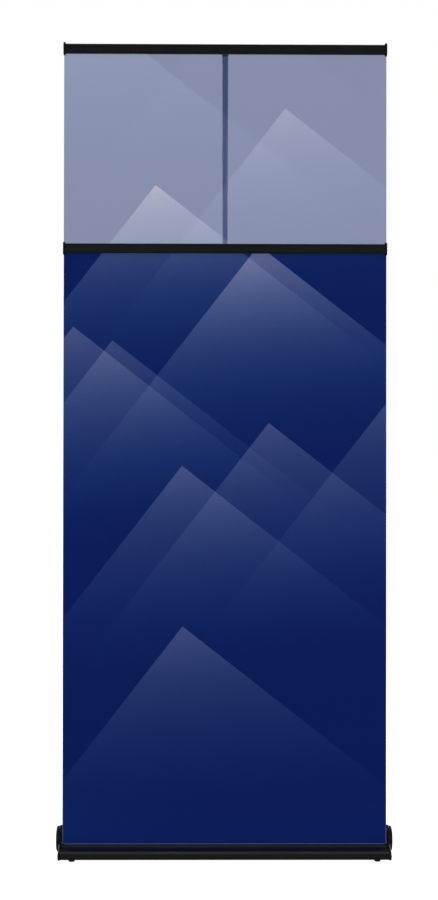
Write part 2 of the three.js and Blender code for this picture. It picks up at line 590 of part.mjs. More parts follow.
const socketBody = poleRod(SOCKET_RADIUS, FLOOR_TOP + GAP, SOCKET_TOP);
const socketCollar = poleTurned([
  [SOCKET_RADIUS - 1, SOCKET_TOP - 3],
  [SOCKET_RADIUS + 1.5, SOCKET_TOP - 3],
  [SOCKET_RADIUS + 1.5, SOCKET_TOP - 1],
  [SOCKET_RADIUS, SOCKET_TOP],
  [SOCKET_RADIUS - 1, SOCKET_TOP],
]);
const socketBore = poleRod(POLE_RADIUS + GAP, SOCKET_FLOOR, SOCKET_TOP + 1);
piece("pole_socket", cut(join(socketBody, socketCollar), socketBore), BLACK_PLASTIC);

const footPlug = join(
  poleRod(POLE_RADIUS, poleFoot, poleFoot + FOOT_PLUG),
  poleRod(POLE_BORE - GAP, poleFoot + FOOT_PLUG - 0.5, poleFoot + 18),
);
piece("pole_foot_plug", footPlug, BLACK_RUBBER);

const jointHalf = FERRULE_FLANGE + GAP;
const lowerTube = poleRing(POLE_RADIUS, POLE_BORE, tubeFoot, POLE_JOINT_HEIGHT - jointHalf);
const middleTube = poleRing(POLE_RADIUS, POLE_BORE, POLE_JOINT_HEIGHT + jointHalf, LOCK_HEIGHT);
piece("pole_lower_tube", lowerTube, SILVER_ANODISED);
piece("pole_middle_tube", middleTube, SILVER_ANODISED);
const ferrule = join(
  poleRod(POLE_BORE - GAP, POLE_JOINT_HEIGHT - FERRULE_REACH, POLE_JOINT_HEIGHT + FERRULE_REACH),
  poleRod(POLE_RADIUS, POLE_JOINT_HEIGHT - FERRULE_FLANGE, POLE_JOINT_HEIGHT + FERRULE_FLANGE),
);
piece("pole_ferrule", ferrule, ZINC_STEEL);

const EYE_RADIUS = PIN_RADIUS + EYE_WALL;
const BRACKET_REACH = POLE_SETBACK / Math.cos(LEAN) - TOP_RAIL_UP * Math.tan(LEAN); // sheet to pole
const HEAD_SEAT = TOP_RAIL_HEIGHT - EYE_HALF - (BRACKET_REACH + EYE_RADIUS) * Math.sin(LEAN) - GAP;
const upperFoot = LOCK_HEIGHT - UPPER_TUBE_OVERLAP;
const upperTop = HEAD_SEAT - HEAD_FLANGE - GAP;
piece("pole_upper_tube", poleRing(UPPER_TUBE_RADIUS, UPPER_BORE, upperFoot, upperTop), SILVER_ANODISED);

const poleHead = poleTurned([
  [0, upperTop - 22],
  [UPPER_BORE - GAP, upperTop - 22],
  [UPPER_BORE - GAP, upperTop + GAP],
  [UPPER_TUBE_RADIUS, upperTop + GAP],
  [UPPER_TUBE_RADIUS + 1, HEAD_SEAT - 1],
  [UPPER_TUBE_RADIUS, HEAD_SEAT],
  [PIN_RADIUS, HEAD_SEAT],
  [PIN_RADIUS, HEAD_SEAT + 2 * EYE_HALF + 2],
  [PIN_RADIUS - 1.2, HEAD_SEAT + 2 * EYE_HALF + 4],
  [0, HEAD_SEAT + 2 * EYE_HALF + 4],
]);
piece("pole_head", poleHead, BLACK_PLASTIC);

const expander = join(
  poleRod(UPPER_BORE - GAP, upperFoot - 2, upperFoot + 20),
  poleRing(POLE_BORE - GAP, 2, upperFoot - 16, upperFoot - GAP),
);
piece("pole_slide_plug", expander, PALE_NYLON);

const NECK_TOP = LOCK_HEIGHT + LOCK_NECK;
const NECK_RADIUS = POLE_RADIUS + 2;
const lockBody = poleTurned([
  [POLE_RADIUS + GAP, LOCK_HEIGHT - 28],
  [POLE_RADIUS + 2.5, LOCK_HEIGHT - 28],
  [POLE_RADIUS + 4.5, LOCK_HEIGHT - 22],
  [POLE_RADIUS + 4.5, LOCK_HEIGHT + 2],
  [NECK_RADIUS, LOCK_HEIGHT + 2],
  [NECK_RADIUS, NECK_TOP],
  [UPPER_TUBE_RADIUS + RUNNING_GAP, NECK_TOP],
  [UPPER_TUBE_RADIUS + RUNNING_GAP, LOCK_HEIGHT + GAP],
  [POLE_RADIUS + GAP, LOCK_HEIGHT + GAP],
]);
piece("lock_collar", lockBody, BLACK_PLASTIC);

/** The twist nut over the collar's neck, with grip flutes round it. */
function lockNut() {
  const low = LOCK_HEIGHT + 2 + GAP;
  const high = low + LOCK_NUT_HEIGHT;
  const outer = POLE_RADIUS + 5.5;
  const inner = NECK_RADIUS + RUNNING_GAP;
  const bore = UPPER_TUBE_RADIUS + RUNNING_GAP;
  const body = poleTurned([
    [inner, low],
    [outer, low],
    [outer, high - 8],
    [bore + 2.5, high],
    [bore, high],
    [bore, NECK_TOP + GAP],
    [inner, NECK_TOP + GAP],
  ]);
  const flutes = Array.from({ length: FLUTES }, (_, i) => {
    const angle = (i / FLUTES) * 2 * Math.PI;
    const reach = outer + 0.8;
    return rodZ(1.6, low - 1, high - 6, reach * Math.cos(angle), POLE_Y + reach * Math.sin(angle), 6);
  });
  return cut(body, ...flutes);
}
piece("lock_nut", lockNut(), BLACK_PLASTIC);

/** The bracket in the top rail's T-slot, with an arm back to an eye that drops over the pole's spigot. */
function railBracket() {
  const insideDepth = RAIL_BACK - RAIL_WALL - GAP;
  const nut = block(-20, 20, CLAMP_FACE + RAIL_WALL + 1, insideDepth, -7, 7);
  const neck = block(-12, 12, insideDepth - 0.5, RAIL_BACK + 1, GAP - RAIL_SLOT / 2, RAIL_SLOT / 2 - GAP);
  const plate = block(-16, 16, RAIL_BACK + GAP, RAIL_BACK + 3, -9, 9);
  const arm = block(-6, 6, RAIL_BACK + 2, BRACKET_REACH, -EYE_HALF, EYE_HALF);
  const eye = rodZ(EYE_RADIUS, -EYE_HALF, EYE_HALF, 0, BRACKET_REACH, POLE_SIDES);
  const bore = rodZ(PIN_RADIUS + 0.5, -EYE_HALF - 1, EYE_HALF + 1, 0, BRACKET_REACH, POLE_SIDES);
  return cut(join(nut, neck, plate, arm, eye), bore);
}
piece("rail_bracket", placed(railBracket(), TOP_RAIL_UP), ZINC_STEEL, leaning);

export default stand;
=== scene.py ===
"""Looks for a two-tier roll-up banner stand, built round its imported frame.

Every piece is modelled in metres in the frame's own axes: +X to the right seen from the front, +Z up, and the
banner faces -Y. The rails and sheets lean back a little, from the cassette at the floor to the pole's head.
"""

from __future__ import annotations

import logging
import math
from dataclasses import dataclass
from enum import Enum
from typing import Any, Callable, Iterable, Sequence

import bmesh
import bpy
from mathutils import Matrix, Vector
from mathutils.geometry import interpolate_bezier


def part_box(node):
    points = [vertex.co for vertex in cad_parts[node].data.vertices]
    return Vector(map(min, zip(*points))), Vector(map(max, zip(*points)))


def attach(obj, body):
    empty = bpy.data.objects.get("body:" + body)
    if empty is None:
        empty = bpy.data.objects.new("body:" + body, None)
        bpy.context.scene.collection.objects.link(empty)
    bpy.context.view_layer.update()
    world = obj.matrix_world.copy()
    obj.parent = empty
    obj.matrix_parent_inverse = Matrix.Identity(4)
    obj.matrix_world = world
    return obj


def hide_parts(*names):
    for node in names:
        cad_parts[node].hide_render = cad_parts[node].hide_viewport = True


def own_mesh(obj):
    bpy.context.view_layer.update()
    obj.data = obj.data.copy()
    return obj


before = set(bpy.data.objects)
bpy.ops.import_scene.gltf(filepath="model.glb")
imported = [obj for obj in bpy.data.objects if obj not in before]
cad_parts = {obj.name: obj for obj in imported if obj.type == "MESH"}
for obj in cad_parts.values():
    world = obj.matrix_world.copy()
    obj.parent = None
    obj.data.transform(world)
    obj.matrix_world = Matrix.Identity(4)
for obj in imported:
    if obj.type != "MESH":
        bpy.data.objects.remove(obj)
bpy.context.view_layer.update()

log = logging.getLogger("banner_stand")

Point = tuple[float, float]
Colour = tuple[float, float, float]
Socket = bpy.types.NodeSocket
MM = 0.001

# ---- Where things are, as in the frame -------------------------------------------------------------------
LEAN = math.radians(0.8)
BANNER_Y = -27 * MM  # the printed sheet where it leaves the cassette
ROLLER_Y = -6.45 * MM
ROLLER_Z = 35 * MM
POLE_Y = 35 * MM
SHELL_END = 428 * MM
SHEET_END = 425 * MM
RAIL_END = 423.25 * MM
TOP_UP = (2128 * MM - ROLLER_Z) / math.cos(LEAN)  # the top rail's middle, measured up the sheet
TIER_DROP = 527 * MM
MID_UP = TOP_UP - TIER_DROP / math.cos(LEAN)
LEANING = Matrix.Translation((0, BANNER_Y, ROLLER_Z)) @ Matrix.Rotation(-LEAN, 4, "X")
POLE_REACH = (POLE_Y - BANNER_Y) / math.cos(LEAN) - TOP_UP * math.tan(LEAN)  # from the sheet back to the pole
ALONG_X = Matrix.Rotation(math.radians(90), 4, "Y")  # turns a shape made about +Z to lie along +X
ALONG_Y = Matrix.Rotation(math.radians(-90), 4, "X")  # turns a shape made about +Z to lie along +Y
MIRROR_X = Matrix.Diagonal((-1, 1, 1, 1))


class Body(Enum):
    """The frame's moving bodies."""

    BASE = "base"
    ROLLER = "roller"
    HEAD = "head"
    JAW = "jaw"
    NUT = "twist_nut"


class Side(Enum):
    """The stand's two ends, with the sign of x at each."""

    LEFT = -1
    RIGHT = 1

    @property
    def word(self) -> str:
        """The side's name in lower case."""
        return self.name.lower()

    @property
    def turn(self) -> Matrix:
        """What makes a right-hand piece into this side's."""
        return MIRROR_X if self is Side.LEFT else Matrix.Identity(4)


# ---- Shapes ----------------------------------------------------------------------------------------------
def arc(y: float, z: float, radius: float, start: float, end: float, steps: int) -> list[Point]:
    """Points along a circular arc of a section.

    Args:
        y: The centre's y.
        z: The centre's z.
        radius: The arc's radius.
        start: The first angle in degrees, from +Y towards +Z.
        end: The last angle in degrees.
        steps: How many straight steps stand for the arc.

    Returns:
        The points, both ends included.
    """
    angles = [math.radians(start + (end - start) * i / steps) for i in range(steps + 1)]
    return [(y + radius * math.cos(a), z + radius * math.sin(a)) for a in angles]


def curve(start: Point, near_start: Point, near_end: Point, end: Point, steps: int) -> list[Point]:
    """Points along a smooth curve of a section, without its first point.

    Args:
        start: Where the curve begins.
        near_start: The handle of its beginning.
        near_end: The handle of its end.
        end: Where the curve ends.
        steps: How many straight steps stand for the curve.

    Returns:
        The points after start, with end as the last.
    """
    handles = [Vector(p) for p in (start, near_start, near_end, end)]
    return [tuple(p) for p in interpolate_bezier(*handles, steps + 1)][1:]


class Shape:
    """A closed shape while it is being modelled."""

    def __init__(self) -> None:
        """Starts with nothing in it."""
        self.bm = bmesh.new()

    @classmethod
    def prism(cls, outline: Sequence[Point], x0: float, x1: float, rounds: float = 0.0) -> Shape:
        """A section in y and z, run along X.

        Args:
            outline: The section's corners in order.
            x0: Where it starts.
            x1: Where it ends.
            rounds: The radius that its corners are rounded to.

        Returns:
            The closed shape.
        """
        shape = cls()
        corners = [shape.bm.verts.new((x0, y, z)) for y, z in outline]
        shape.bm.faces.new(corners)
        if rounds:
            shape.beveled(corners, rounds, 3, "VERTICES")
        made = bmesh.ops.extrude_face_region(shape.bm, geom=shape.bm.faces[:])
        top = [v for v in made["geom"] if isinstance(v, bmesh.types.BMVert)]
        bmesh.ops.translate(shape.bm, verts=top, vec=(x1 - x0, 0, 0))
        return shape.tidied()

    @classmethod
    def turned(cls, profile: Sequence[Point], steps: int = 48, closed: bool = True) -> Shape:
        """A profile spun round Z.

        Args:
            profile: Pairs of radius and height.
            steps: How many faces go round.
            closed: True where the profile's last point joins its first.

        Returns:
            The turned shape.
        """
        shape = cls()
        spots = [shape.bm.verts.new((r, 0, z)) for r, z in profile]
        pairs = list(zip(spots, spots[1:]))
        if closed:
            pairs.append((spots[-1], spots[0]))
        on_axis = {v for v in spots if abs(v.co.x) < 1e-9}
        edges = [shape.bm.edges.new(p) for p in pairs if not on_axis.issuperset(p)]
        bmesh.ops.spin(
            shape.bm, geom=spots + edges, cent=(0, 0, 0), axis=(0, 0, 1), dvec=(0, 0, 0), angle=math.tau,
            steps=steps, use_merge=True, use_duplicate=False,
        )
        return shape.tidied()

    @classmethod
    def rod(cls, radius: float, z0: float, z1: float, steps: int = 48) -> Shape:
        """A round rod about Z from z0 to z1."""
        return cls.turned([(0, z0), (radius, z0), (radius, z1), (0, z1)], steps, closed=False)

    @classmethod
    def ring(cls, outer: float, inner: float, z0: float, z1: float, steps: int = 48) -> Shape:
        """A tube about Z from z0 to z1."""
        return cls.turned([(inner, z0), (outer, z0), (outer, z1), (inner, z1)], steps)

    @classmethod
    def block(cls, low: Sequence[float], high: Sequence[float]) -> Shape:
        """A block between two corners.

        Args:
            low: The corner with the least x, y and z.
            high: The corner opposite.

        Returns:
            The block.
        """
        shape = cls()
        size = [b - a for a, b in zip(low, high)]
        middle = [(a + b) / 2 for a, b in zip(low, high)]
        place = Matrix.Translation(middle) @ Matrix.Diagonal((*size, 1))
        bmesh.ops.create_cube(shape.bm, size=1, matrix=place)
        return shape

    def tidied(self) -> Shape:
        """Merges doubles and turns the faces outwards.

        Returns:
            The same shape.
        """
        bmesh.ops.remove_doubles(self.bm, verts=self.bm.verts[:], dist=1e-6)
        bmesh.ops.recalc_face_normals(self.bm, faces=self.bm.faces[:])
        return self

    def softened(self, width: float, segments: int = 2, sharper: float = 35.0) -> Shape:
        """Rounds the edges that are sharper than an angle.

        Args:
            width: How wide the rounding is.
            segments: How many faces stand for the rounding.
            sharper: The least angle between two faces, in degrees.

        Returns:
            The same shape.
        """
        limit = math.radians(sharper)
        edges = [e for e in self.bm.edges if len(e.link_faces) == 2 and e.calc_face_angle(0) > limit]
        return self.beveled(edges, width, segments)

    def beveled(self, parts: list[Any], width: float, segments: int, affect: str = "EDGES") -> Shape:
        """Rounds some of the shape's edges or corners.

        Args:
            parts: The edges or corners.
            width: How wide the rounding is.
            segments: How many faces stand for the rounding.
            affect: EDGES or VERTICES.

        Returns:
            The same shape.
        """
        how = {"offset_type": "OFFSET", "profile": 0.5, "material": -1, "clamp_overlap": True}
        bmesh.ops.bevel(self.bm, geom=parts, offset=width, segments=segments, affect=affect, **how)
        return self

    def placed(self, matrix: Matrix) -> Shape:
        """Moves the shape, and keeps its faces outwards if it is mirrored.

        Args:
            matrix: Where the shape goes.

        Returns:
            The same shape.
        """
        bmesh.ops.transform(self.bm, matrix=matrix, verts=self.bm.verts[:])
        if matrix.determinant() < 0:
            bmesh.ops.reverse_faces(self.bm, faces=self.bm.faces[:])
        return self

    def moved(self, x: float, y: float, z: float) -> Shape:
        """Moves the shape along each axis."""
        return self.placed(Matrix.Translation((x, y, z)))

    def copy(self) -> Shape:
        """Another shape just like this one.

        Returns:
            The copy.
        """
        twin = Shape()
        twin.bm.free()
        twin.bm = self.bm.copy()
        return twin

    def mesh(self, name: str) -> bpy.types.Mesh:
        """Writes the shape to a mesh and frees it.

        Args:
            name: The mesh's name.

        Returns:
            The mesh.
        """
        data = bpy.data.meshes.new(name)
        self.bm.to_mesh(data)
        self.bm.free()
        return data

    def combined(self, operation: str, others: Iterable[Shape]) -> Shape:
        """Joins or cuts this shape with others.

        Args:
            operation: UNION or DIFFERENCE.
            others: The shapes to join or to cut away.

        Returns:
            The new shape.
        """
        target = linked("target", self.mesh("target"))
        tools = []
        for other in others:
            tool = linked("tool", other.mesh("tool"))
            step = target.modifiers.new("step", "BOOLEAN")
            step.operation, step.object, step.solver = operation, tool, "EXACT"
            tools.append(tool)
        graph = bpy.context.evaluated_depsgraph_get()
        made = bpy.data.meshes.new_from_object(target.evaluated_get(graph))
        result = Shape()
        result.bm.from_mesh(made)
        for spare in [target, *tools]:
            data = spare.data
            bpy.data.objects.remove(spare)
            bpy.data.meshes.remove(data)
        bpy.data.meshes.remove(made)
        return result

    def joined(self, *others: Shape) -> Shape:
        """This shape and the others as one."""
        return self.combined("UNION", others)

    def carved(self, *others: Shape) -> Shape:
        """This shape with the others cut away."""
        return self.combined("DIFFERENCE", others)


def linked(name: str, data: bpy.types.ID) -> bpy.types.Object:
    """A new object with this data, in the scene.

    Args:
        name: The object's name.
        data: Its mesh, light or camera.

    Returns:
        The object.
    """
    made = bpy.data.objects.new(name, data)
    bpy.context.scene.collection.objects.link(made)
    return made


# ---- Node graphs -----------------------------------------------------------------------------------------
class Graph:
    """Adds and joins the nodes of one material or node group."""

    def __init__(self, tree: bpy.types.NodeTree) -> None:
        """Takes the tree to work in."""
        self.tree = tree

    def add(self, kind: str, sockets: dict[Any, Any] | None = None, **settings: Any) -> bpy.types.Node:
        """Adds one node.

        Args:
            kind: The node's type.
            sockets: Each input's value, or the output that feeds it.
            **settings: The node's own settings.

        Returns:
            The new node.
        """
        node = self.tree.nodes.new(kind)
        for name, value in settings.items():
            setattr(node, name, value)
        return self.fill(node, sockets or {})

    def fill(self, node: bpy.types.Node, sockets: dict[Any, Any]) -> bpy.types.Node:
        """Gives a node's inputs their values.

        Args:
            node: The node.
            sockets: Each input's value, or the output that feeds it.

        Returns:
            The same node.
        """
        for socket, value in sockets.items():
            if isinstance(value, Socket):
                self.tree.links.new(value, node.inputs[socket])
            else:
                node.inputs[socket].default_value = value
        return node

    def math(self, operation: str, *values: Any, clamp: bool = False) -> Socket:
        """A Math node's result for these values or outputs."""
        node = self.add("ShaderNodeMath", dict(enumerate(values)), operation=operation, use_clamp=clamp)
        return node.outputs[0]

    def mix(self, factor: Any, first: Any, second: Any, blend: str = "MIX") -> Socket:
        """Two colours mixed by a factor."""
        sockets = {0: factor, 6: first, 7: second}
        return self.add("ShaderNodeMix", sockets, data_type="RGBA", blend_type=blend).outputs[2]

    def spread(self, value: Any, low: Any, high: Any, to_low: Any, to_high: Any) -> Socket:
        """A value carried from one range to another, held at its ends."""
        return self.add("ShaderNodeMapRange", {0: value, 1: low, 2: high, 3: to_low, 4: to_high}).outputs[0]

    def noise(self, place: Any, scale: float, detail: float = 2.0, roughness: float = 0.5) -> Socket:
        """A noise texture's value."""
        sockets = {"Vector": place, "Scale": scale, "Detail": detail, "Roughness": roughness}
        return self.add("ShaderNodeTexNoise", sockets).outputs[0]

    def stretched(self, place: Any, scale: Any) -> Socket:
        """Coordinates scaled along each axis."""
        return self.add("ShaderNodeMapping", {"Vector": place, "Scale": scale}).outputs[0]

    def object_place(self) -> Socket:
        """The piece's own object coordinates."""
        return self.add("ShaderNodeTexCoord").outputs["Object"]


@dataclass(frozen=True)
class Group:
    """A node group that several materials share."""

    name: str
    inputs: dict[str, tuple[str, Any]]  # each one's socket type and first value
    outputs: dict[str, str]  # each one's socket type
    wire: Callable[[Graph, Any], dict[str, Any]]  # gives what feeds each output

    def tree(self) -> bpy.types.NodeTree:
        """The group's own tree, built the first time it is asked for.

        Returns:
            The tree.
        """
        found = bpy.data.node_groups.get(self.name)
        if found:
            return found
        tree = bpy.data.node_groups.new(self.name, "ShaderNodeTree")
        for label, (kind, value) in self.inputs.items():
            socket = tree.interface.new_socket(label, in_out="INPUT", socket_type=kind)
            if value is not None:
                socket.default_value = value
        for label, kind in self.outputs.items():
            tree.interface.new_socket(label, in_out="OUTPUT", socket_type=kind)
        graph, given = Graph(tree), tree.nodes.new("NodeGroupInput").outputs
        graph.fill(tree.nodes.new("NodeGroupOutput"), self.wire(graph, given))
        return tree

    def placed(self, graph: Graph, **values: Any) -> Any:
        """Places the group in a graph.

        Args:
            graph: The material's graph.
            **values: The group's own value or feed for each input.

        Returns:
            The placed group's outputs.
        """
        node = graph.tree.nodes.new("ShaderNodeGroup")
        node.node_tree = self.tree()
        return graph.fill(node, values).outputs


def wire_draw_lines(graph: Graph, given: Any) -> dict[str, Any]:
    """Wires the fine lines that a die leaves along an extrusion or a drawn tube.

    Args:
        graph: The group's graph.
        given: The group's inputs.

    Returns:
        A height and a tone.
    """
    mapped = graph.stretched(given["Place"], given["Stretch"])
    fine = graph.noise(mapped, 1.0, 3.0, 0.6)
    broad = graph.noise(mapped, 0.17)
    both = graph.math("MULTIPLY_ADD", broad, 0.6, graph.math("MULTIPLY", fine, 0.4))
    height = graph.math("MULTIPLY_ADD", graph.math("SUBTRACT", both, 0.5), given["Contrast"], 0.5)
    return {"Height": height, "Tone": graph.spread(both, 0.35, 0.65, 0.0, 1.0)}


def wire_handling(graph: Graph, given: Any) -> dict[str, Any]:
    """Wires the faint marks that hands and cloths leave on a surface.

    Args:
        graph: The group's graph.
        given: The group's inputs.

    Returns:
        A cloud mask and sparse fine specks.
    """
    cloud = graph.noise(given["Place"], given["Size"], 5.0, 0.6)
    speck = graph.noise(given["Place"], given["Specks"], 1.0)
    clouds = graph.spread(cloud, 0.35, 0.7, 0.0, 1.0)
    return {"Clouds": clouds, "Dust": graph.spread(speck, 0.68, 0.8, 0.0, 1.0)}


def wire_grain(graph: Graph, given: Any) -> dict[str, Any]:
    """Wires the fine spark-eroded grain of a moulded plastic part.

    Args:
        graph: The group's graph.
        given: The group's inputs.

    Returns:
        The grain's height.
    """
    sockets = {"Vector": given["Place"], "Scale": given["Size"]}
    cells = graph.add("ShaderNodeTexVoronoi", sockets, feature="SMOOTH_F1").outputs[0]
    soft = graph.math("MULTIPLY", graph.noise(given["Place"], given["Size"]), 0.5)
    return {"Height": graph.math("MULTIPLY_ADD", cells, 0.5, soft)}


def wire_weave(graph: Graph, given: Any) -> dict[str, Any]:
    """Wires the fine weave of a printed banner cloth.

    Args:
        graph: The group's graph.
        given: The group's inputs, with the place in metres across the cloth.

    Returns:
        The weave's height.
    """
    waves = []
    for side in graph.add("ShaderNodeSeparateXYZ", {0: given["Place"]}).outputs[:2]:
        turns = graph.math("MULTIPLY", side, given["Threads"])
        waves.append(graph.math("SINE", graph.math("MULTIPLY", turns, math.pi)))
    slub = graph.noise(graph.stretched(given["Place"], (40, 900, 1)), 1.0)
    return {"Height": graph.math("MULTIPLY_ADD", graph.math("MULTIPLY", *waves), 0.3, slub)}


def wire_peak(graph: Graph, given: Any) -> dict[str, Any]:
    """Wires one translucent right-angled peak of the print, which fades from its apex.

    Args:
        graph: The group's graph.
        given: The group's inputs.

    Returns:
        The colour under the peak with the peak laid over it.
    """
    places = {"Vector": given["Place"], "Location": given["Apex"], "Rotation": given["Tilt"]}
    turned = graph.add("ShaderNodeMapping", places, vector_type="TEXTURE").outputs[0]
    right, up = graph.add("ShaderNodeSeparateXYZ", {0: turned}).outputs[:2]
    inside = graph.math(
        "MULTIPLY",
        graph.spread(right, 0.0, PEAK_EDGE, 0.0, 1.0),
        graph.spread(graph.math("MULTIPLY", up, -1.0), 0.0, PEAK_EDGE, 0.0, 1.0),
    )
    depth = graph.math("MULTIPLY", graph.math("SUBTRACT", right, up), math.sqrt(0.5))
    fall = graph.math("SUBTRACT", 1.0, graph.math("DIVIDE", depth, given["Reach"]), clamp=True)
    amount = graph.math("MULTIPLY", graph.math("POWER", fall, 2.0), given["Strength"])
    tint = graph.mix(fall, (0.5, 0.82, 1.0, 1), (1.0, 0.9, 0.97, 1))
    return {"Over": graph.mix(graph.math("MULTIPLY", amount, inside), given["Under"], tint)}


FLOAT, VECTOR, COLOUR = "NodeSocketFloat", "NodeSocketVector", "NodeSocketColor"
PEAK_EDGE = 0.0012  # metres over which a peak's edge comes in
PLACE = {"Place": (VECTOR, None)}
DRAW_LINES = Group(
    "draw lines",
    {**PLACE, "Stretch": (VECTOR, (4, 900, 900)), "Contrast": (FLOAT, 1.0)},
    {"Height": FLOAT, "Tone": FLOAT},
    wire_draw_lines,
)
HANDLING = Group(
    "handling",
    {**PLACE, "Size": (FLOAT, 18.0), "Specks": (FLOAT, 900.0)},
    {"Clouds": FLOAT, "Dust": FLOAT},
    wire_handling,
)
GRAIN = Group("moulded grain", {**PLACE, "Size": (FLOAT, 1800.0)}, {"Height": FLOAT}, wire_grain)
WEAVE = Group("banner weave", {**PLACE, "Threads": (FLOAT, 1600.0)}, {"Height": FLOAT}, wire_weave)
PEAK = Group(
    "print peak",
    {"Under": (COLOUR, (0, 0, 0, 1)), **PLACE, "Apex": (VECTOR, None), "Tilt": (VECTOR, None)}
    | {"Strength": (FLOAT, 0.3), "Reach": (FLOAT, 0.5)},
    {"Over": COLOUR},
    wire_peak,
)


# ---- Finishes --------------------------------------------------------------------------------------------
@dataclass(frozen=True)
class Finish:
    """What every finish shares: its name, colour and roughness."""

    name: str
    slot: str
    colour: Colour
    roughness: float

    def material(self) -> bpy.types.Material:
        """The finish's material, built the first time it is asked for.

        Returns:
            The material.
        """
        found = bpy.data.materials.get(self.name)
        if found:
            return found
        made = bpy.data.materials.new(self.name)
        made.use_nodes = True
        graph = Graph(made.node_tree)
        shader = made.node_tree.nodes["Principled BSDF"]
        shader.inputs["Base Color"].default_value = (*self.colour, 1)
        shader.inputs["Roughness"].default_value = self.roughness
        made.diffuse_color = (*self.colour, 1)
        self.dress(graph, shader)
        return made

    def dress(self, graph: Graph, shader: bpy.types.Node) -> None:
        """Adds the finish's own nodes; the plain finish has none."""

    def bump(self, graph: Graph, shader: bpy.types.Node, height: Any, strength: float, depth: float) -> None:
        """Feeds a height to the shader's normal.

        Args:
            graph: The material's graph.
            shader: Its Principled node.
            height: The height's output.
            strength: How strong the bump is.
            depth: How deep it is, in metres.
        """
        node = graph.add("ShaderNodeBump", {"Strength": strength, "Distance": depth, "Height": height})
        graph.fill(shader, {"Normal": node.outputs[0]})

    def lightened(self, graph: Graph, mask: Any, lift: float) -> Socket:
        """The finish's colour, lift times as bright where a mask is full."""
        bright = tuple(min(1.0, c * lift) for c in self.colour)
        return graph.mix(mask, (*self.colour, 1), (*bright, 1))

    def roughened(self, graph: Graph, mask: Any, low: float, high: float) -> Socket:
        """The finish's roughness, from low to high times itself as a mask fills."""
        return graph.spread(mask, 0.0, 1.0, self.roughness * low, self.roughness * high)


@dataclass(frozen=True)
class DrawnMetal(Finish):
    """Anodised or mill metal with draw lines along one axis."""

    metallic: float = 0.0
    stretch: tuple[float, float, float] = (3, 700, 700)
    line_depth: float = 0.00002
    specular: float = 0.5

    def dress(self, graph: Graph, shader: bpy.types.Node) -> None:
        """Adds draw lines, handling marks and a varying sheen.

        Args:
            graph: The material's graph.
            shader: Its Principled node.
        """
        place = graph.object_place()
        lines = DRAW_LINES.placed(graph, Place=place, Stretch=self.stretch)
        marks = HANDLING.placed(graph, Place=place, Size=9.0)
        tone = graph.math("MULTIPLY", lines["Tone"], 0.5)
        worn = graph.math("MULTIPLY_ADD", marks["Clouds"], 0.5, tone)
        sockets = {
            "Metallic": self.metallic,
            "Specular IOR Level": self.specular,
            "Base Color": self.lightened(graph, worn, 1.5),
            "Roughness": self.roughened(graph, worn, 0.85, 1.25),
        }
        graph.fill(shader, sockets)
        self.bump(graph, shader, lines["Height"], 0.6, self.line_depth)


@dataclass(frozen=True)
class Moulded(Finish):
    """Moulded plastic or rubber with a fine grain."""

    grain: float = 1500.0
    grain_depth: float = 0.00003
    specular: float = 0.4
    lift: float = 1.6

    def dress(self, graph: Graph, shader: bpy.types.Node) -> None:
        """Adds grain, handling marks and a little dust.

        Args:
            graph: The material's graph.
            shader: Its Principled node.
        """
        place = graph.object_place()
        grain = GRAIN.placed(graph, Place=place, Size=self.grain)
        marks = HANDLING.placed(graph, Place=place, Size=25.0)
        worn = graph.math("MAXIMUM", graph.math("MULTIPLY", marks["Clouds"], 0.5), marks["Dust"])
        sockets = {
            "Specular IOR Level": self.specular,
            "Base Color": self.lightened(graph, worn, self.lift),
            "Roughness": self.roughened(graph, marks["Clouds"], 0.85, 1.2),
        }
        graph.fill(shader, sockets)
        self.bump(graph, shader, grain["Height"], 0.5, self.grain_depth)


@dataclass(frozen=True)
class Plated(Finish):
    """Bright plating with fine scratches."""

    scratch: float = 400.0

    def dress(self, graph: Graph, shader: bpy.types.Node) -> None:
        """Adds crossing scratches and cloudy dulling.

        Args:
            graph: The material's graph.
            shader: Its Principled node.
        """
        place = graph.object_place()
        crossing = [graph.noise(graph.stretched(place, s), self.scratch) for s in ((0.1, 2, 2), (2, 2, 0.1))]
        marks = HANDLING.placed(graph, Place=place, Size=120.0)
        sockets = {
            "Metallic": 1.0,
            "Base Color": self.lightened(graph, marks["Clouds"], 0.75),
            "Roughness": self.roughened(graph, marks["Clouds"], 0.7, 1.5),
        }
        graph.fill(shader, sockets)
        self.bump(graph, shader, graph.math("ADD", *crossing), 0.25, 0.00002)


@dataclass(frozen=True)
class Peak:
    """One peak of the print: its apex in metres on the sheet, strength and reach."""

    across: float
    up: float
    strength: float
    reach: float = 0.63


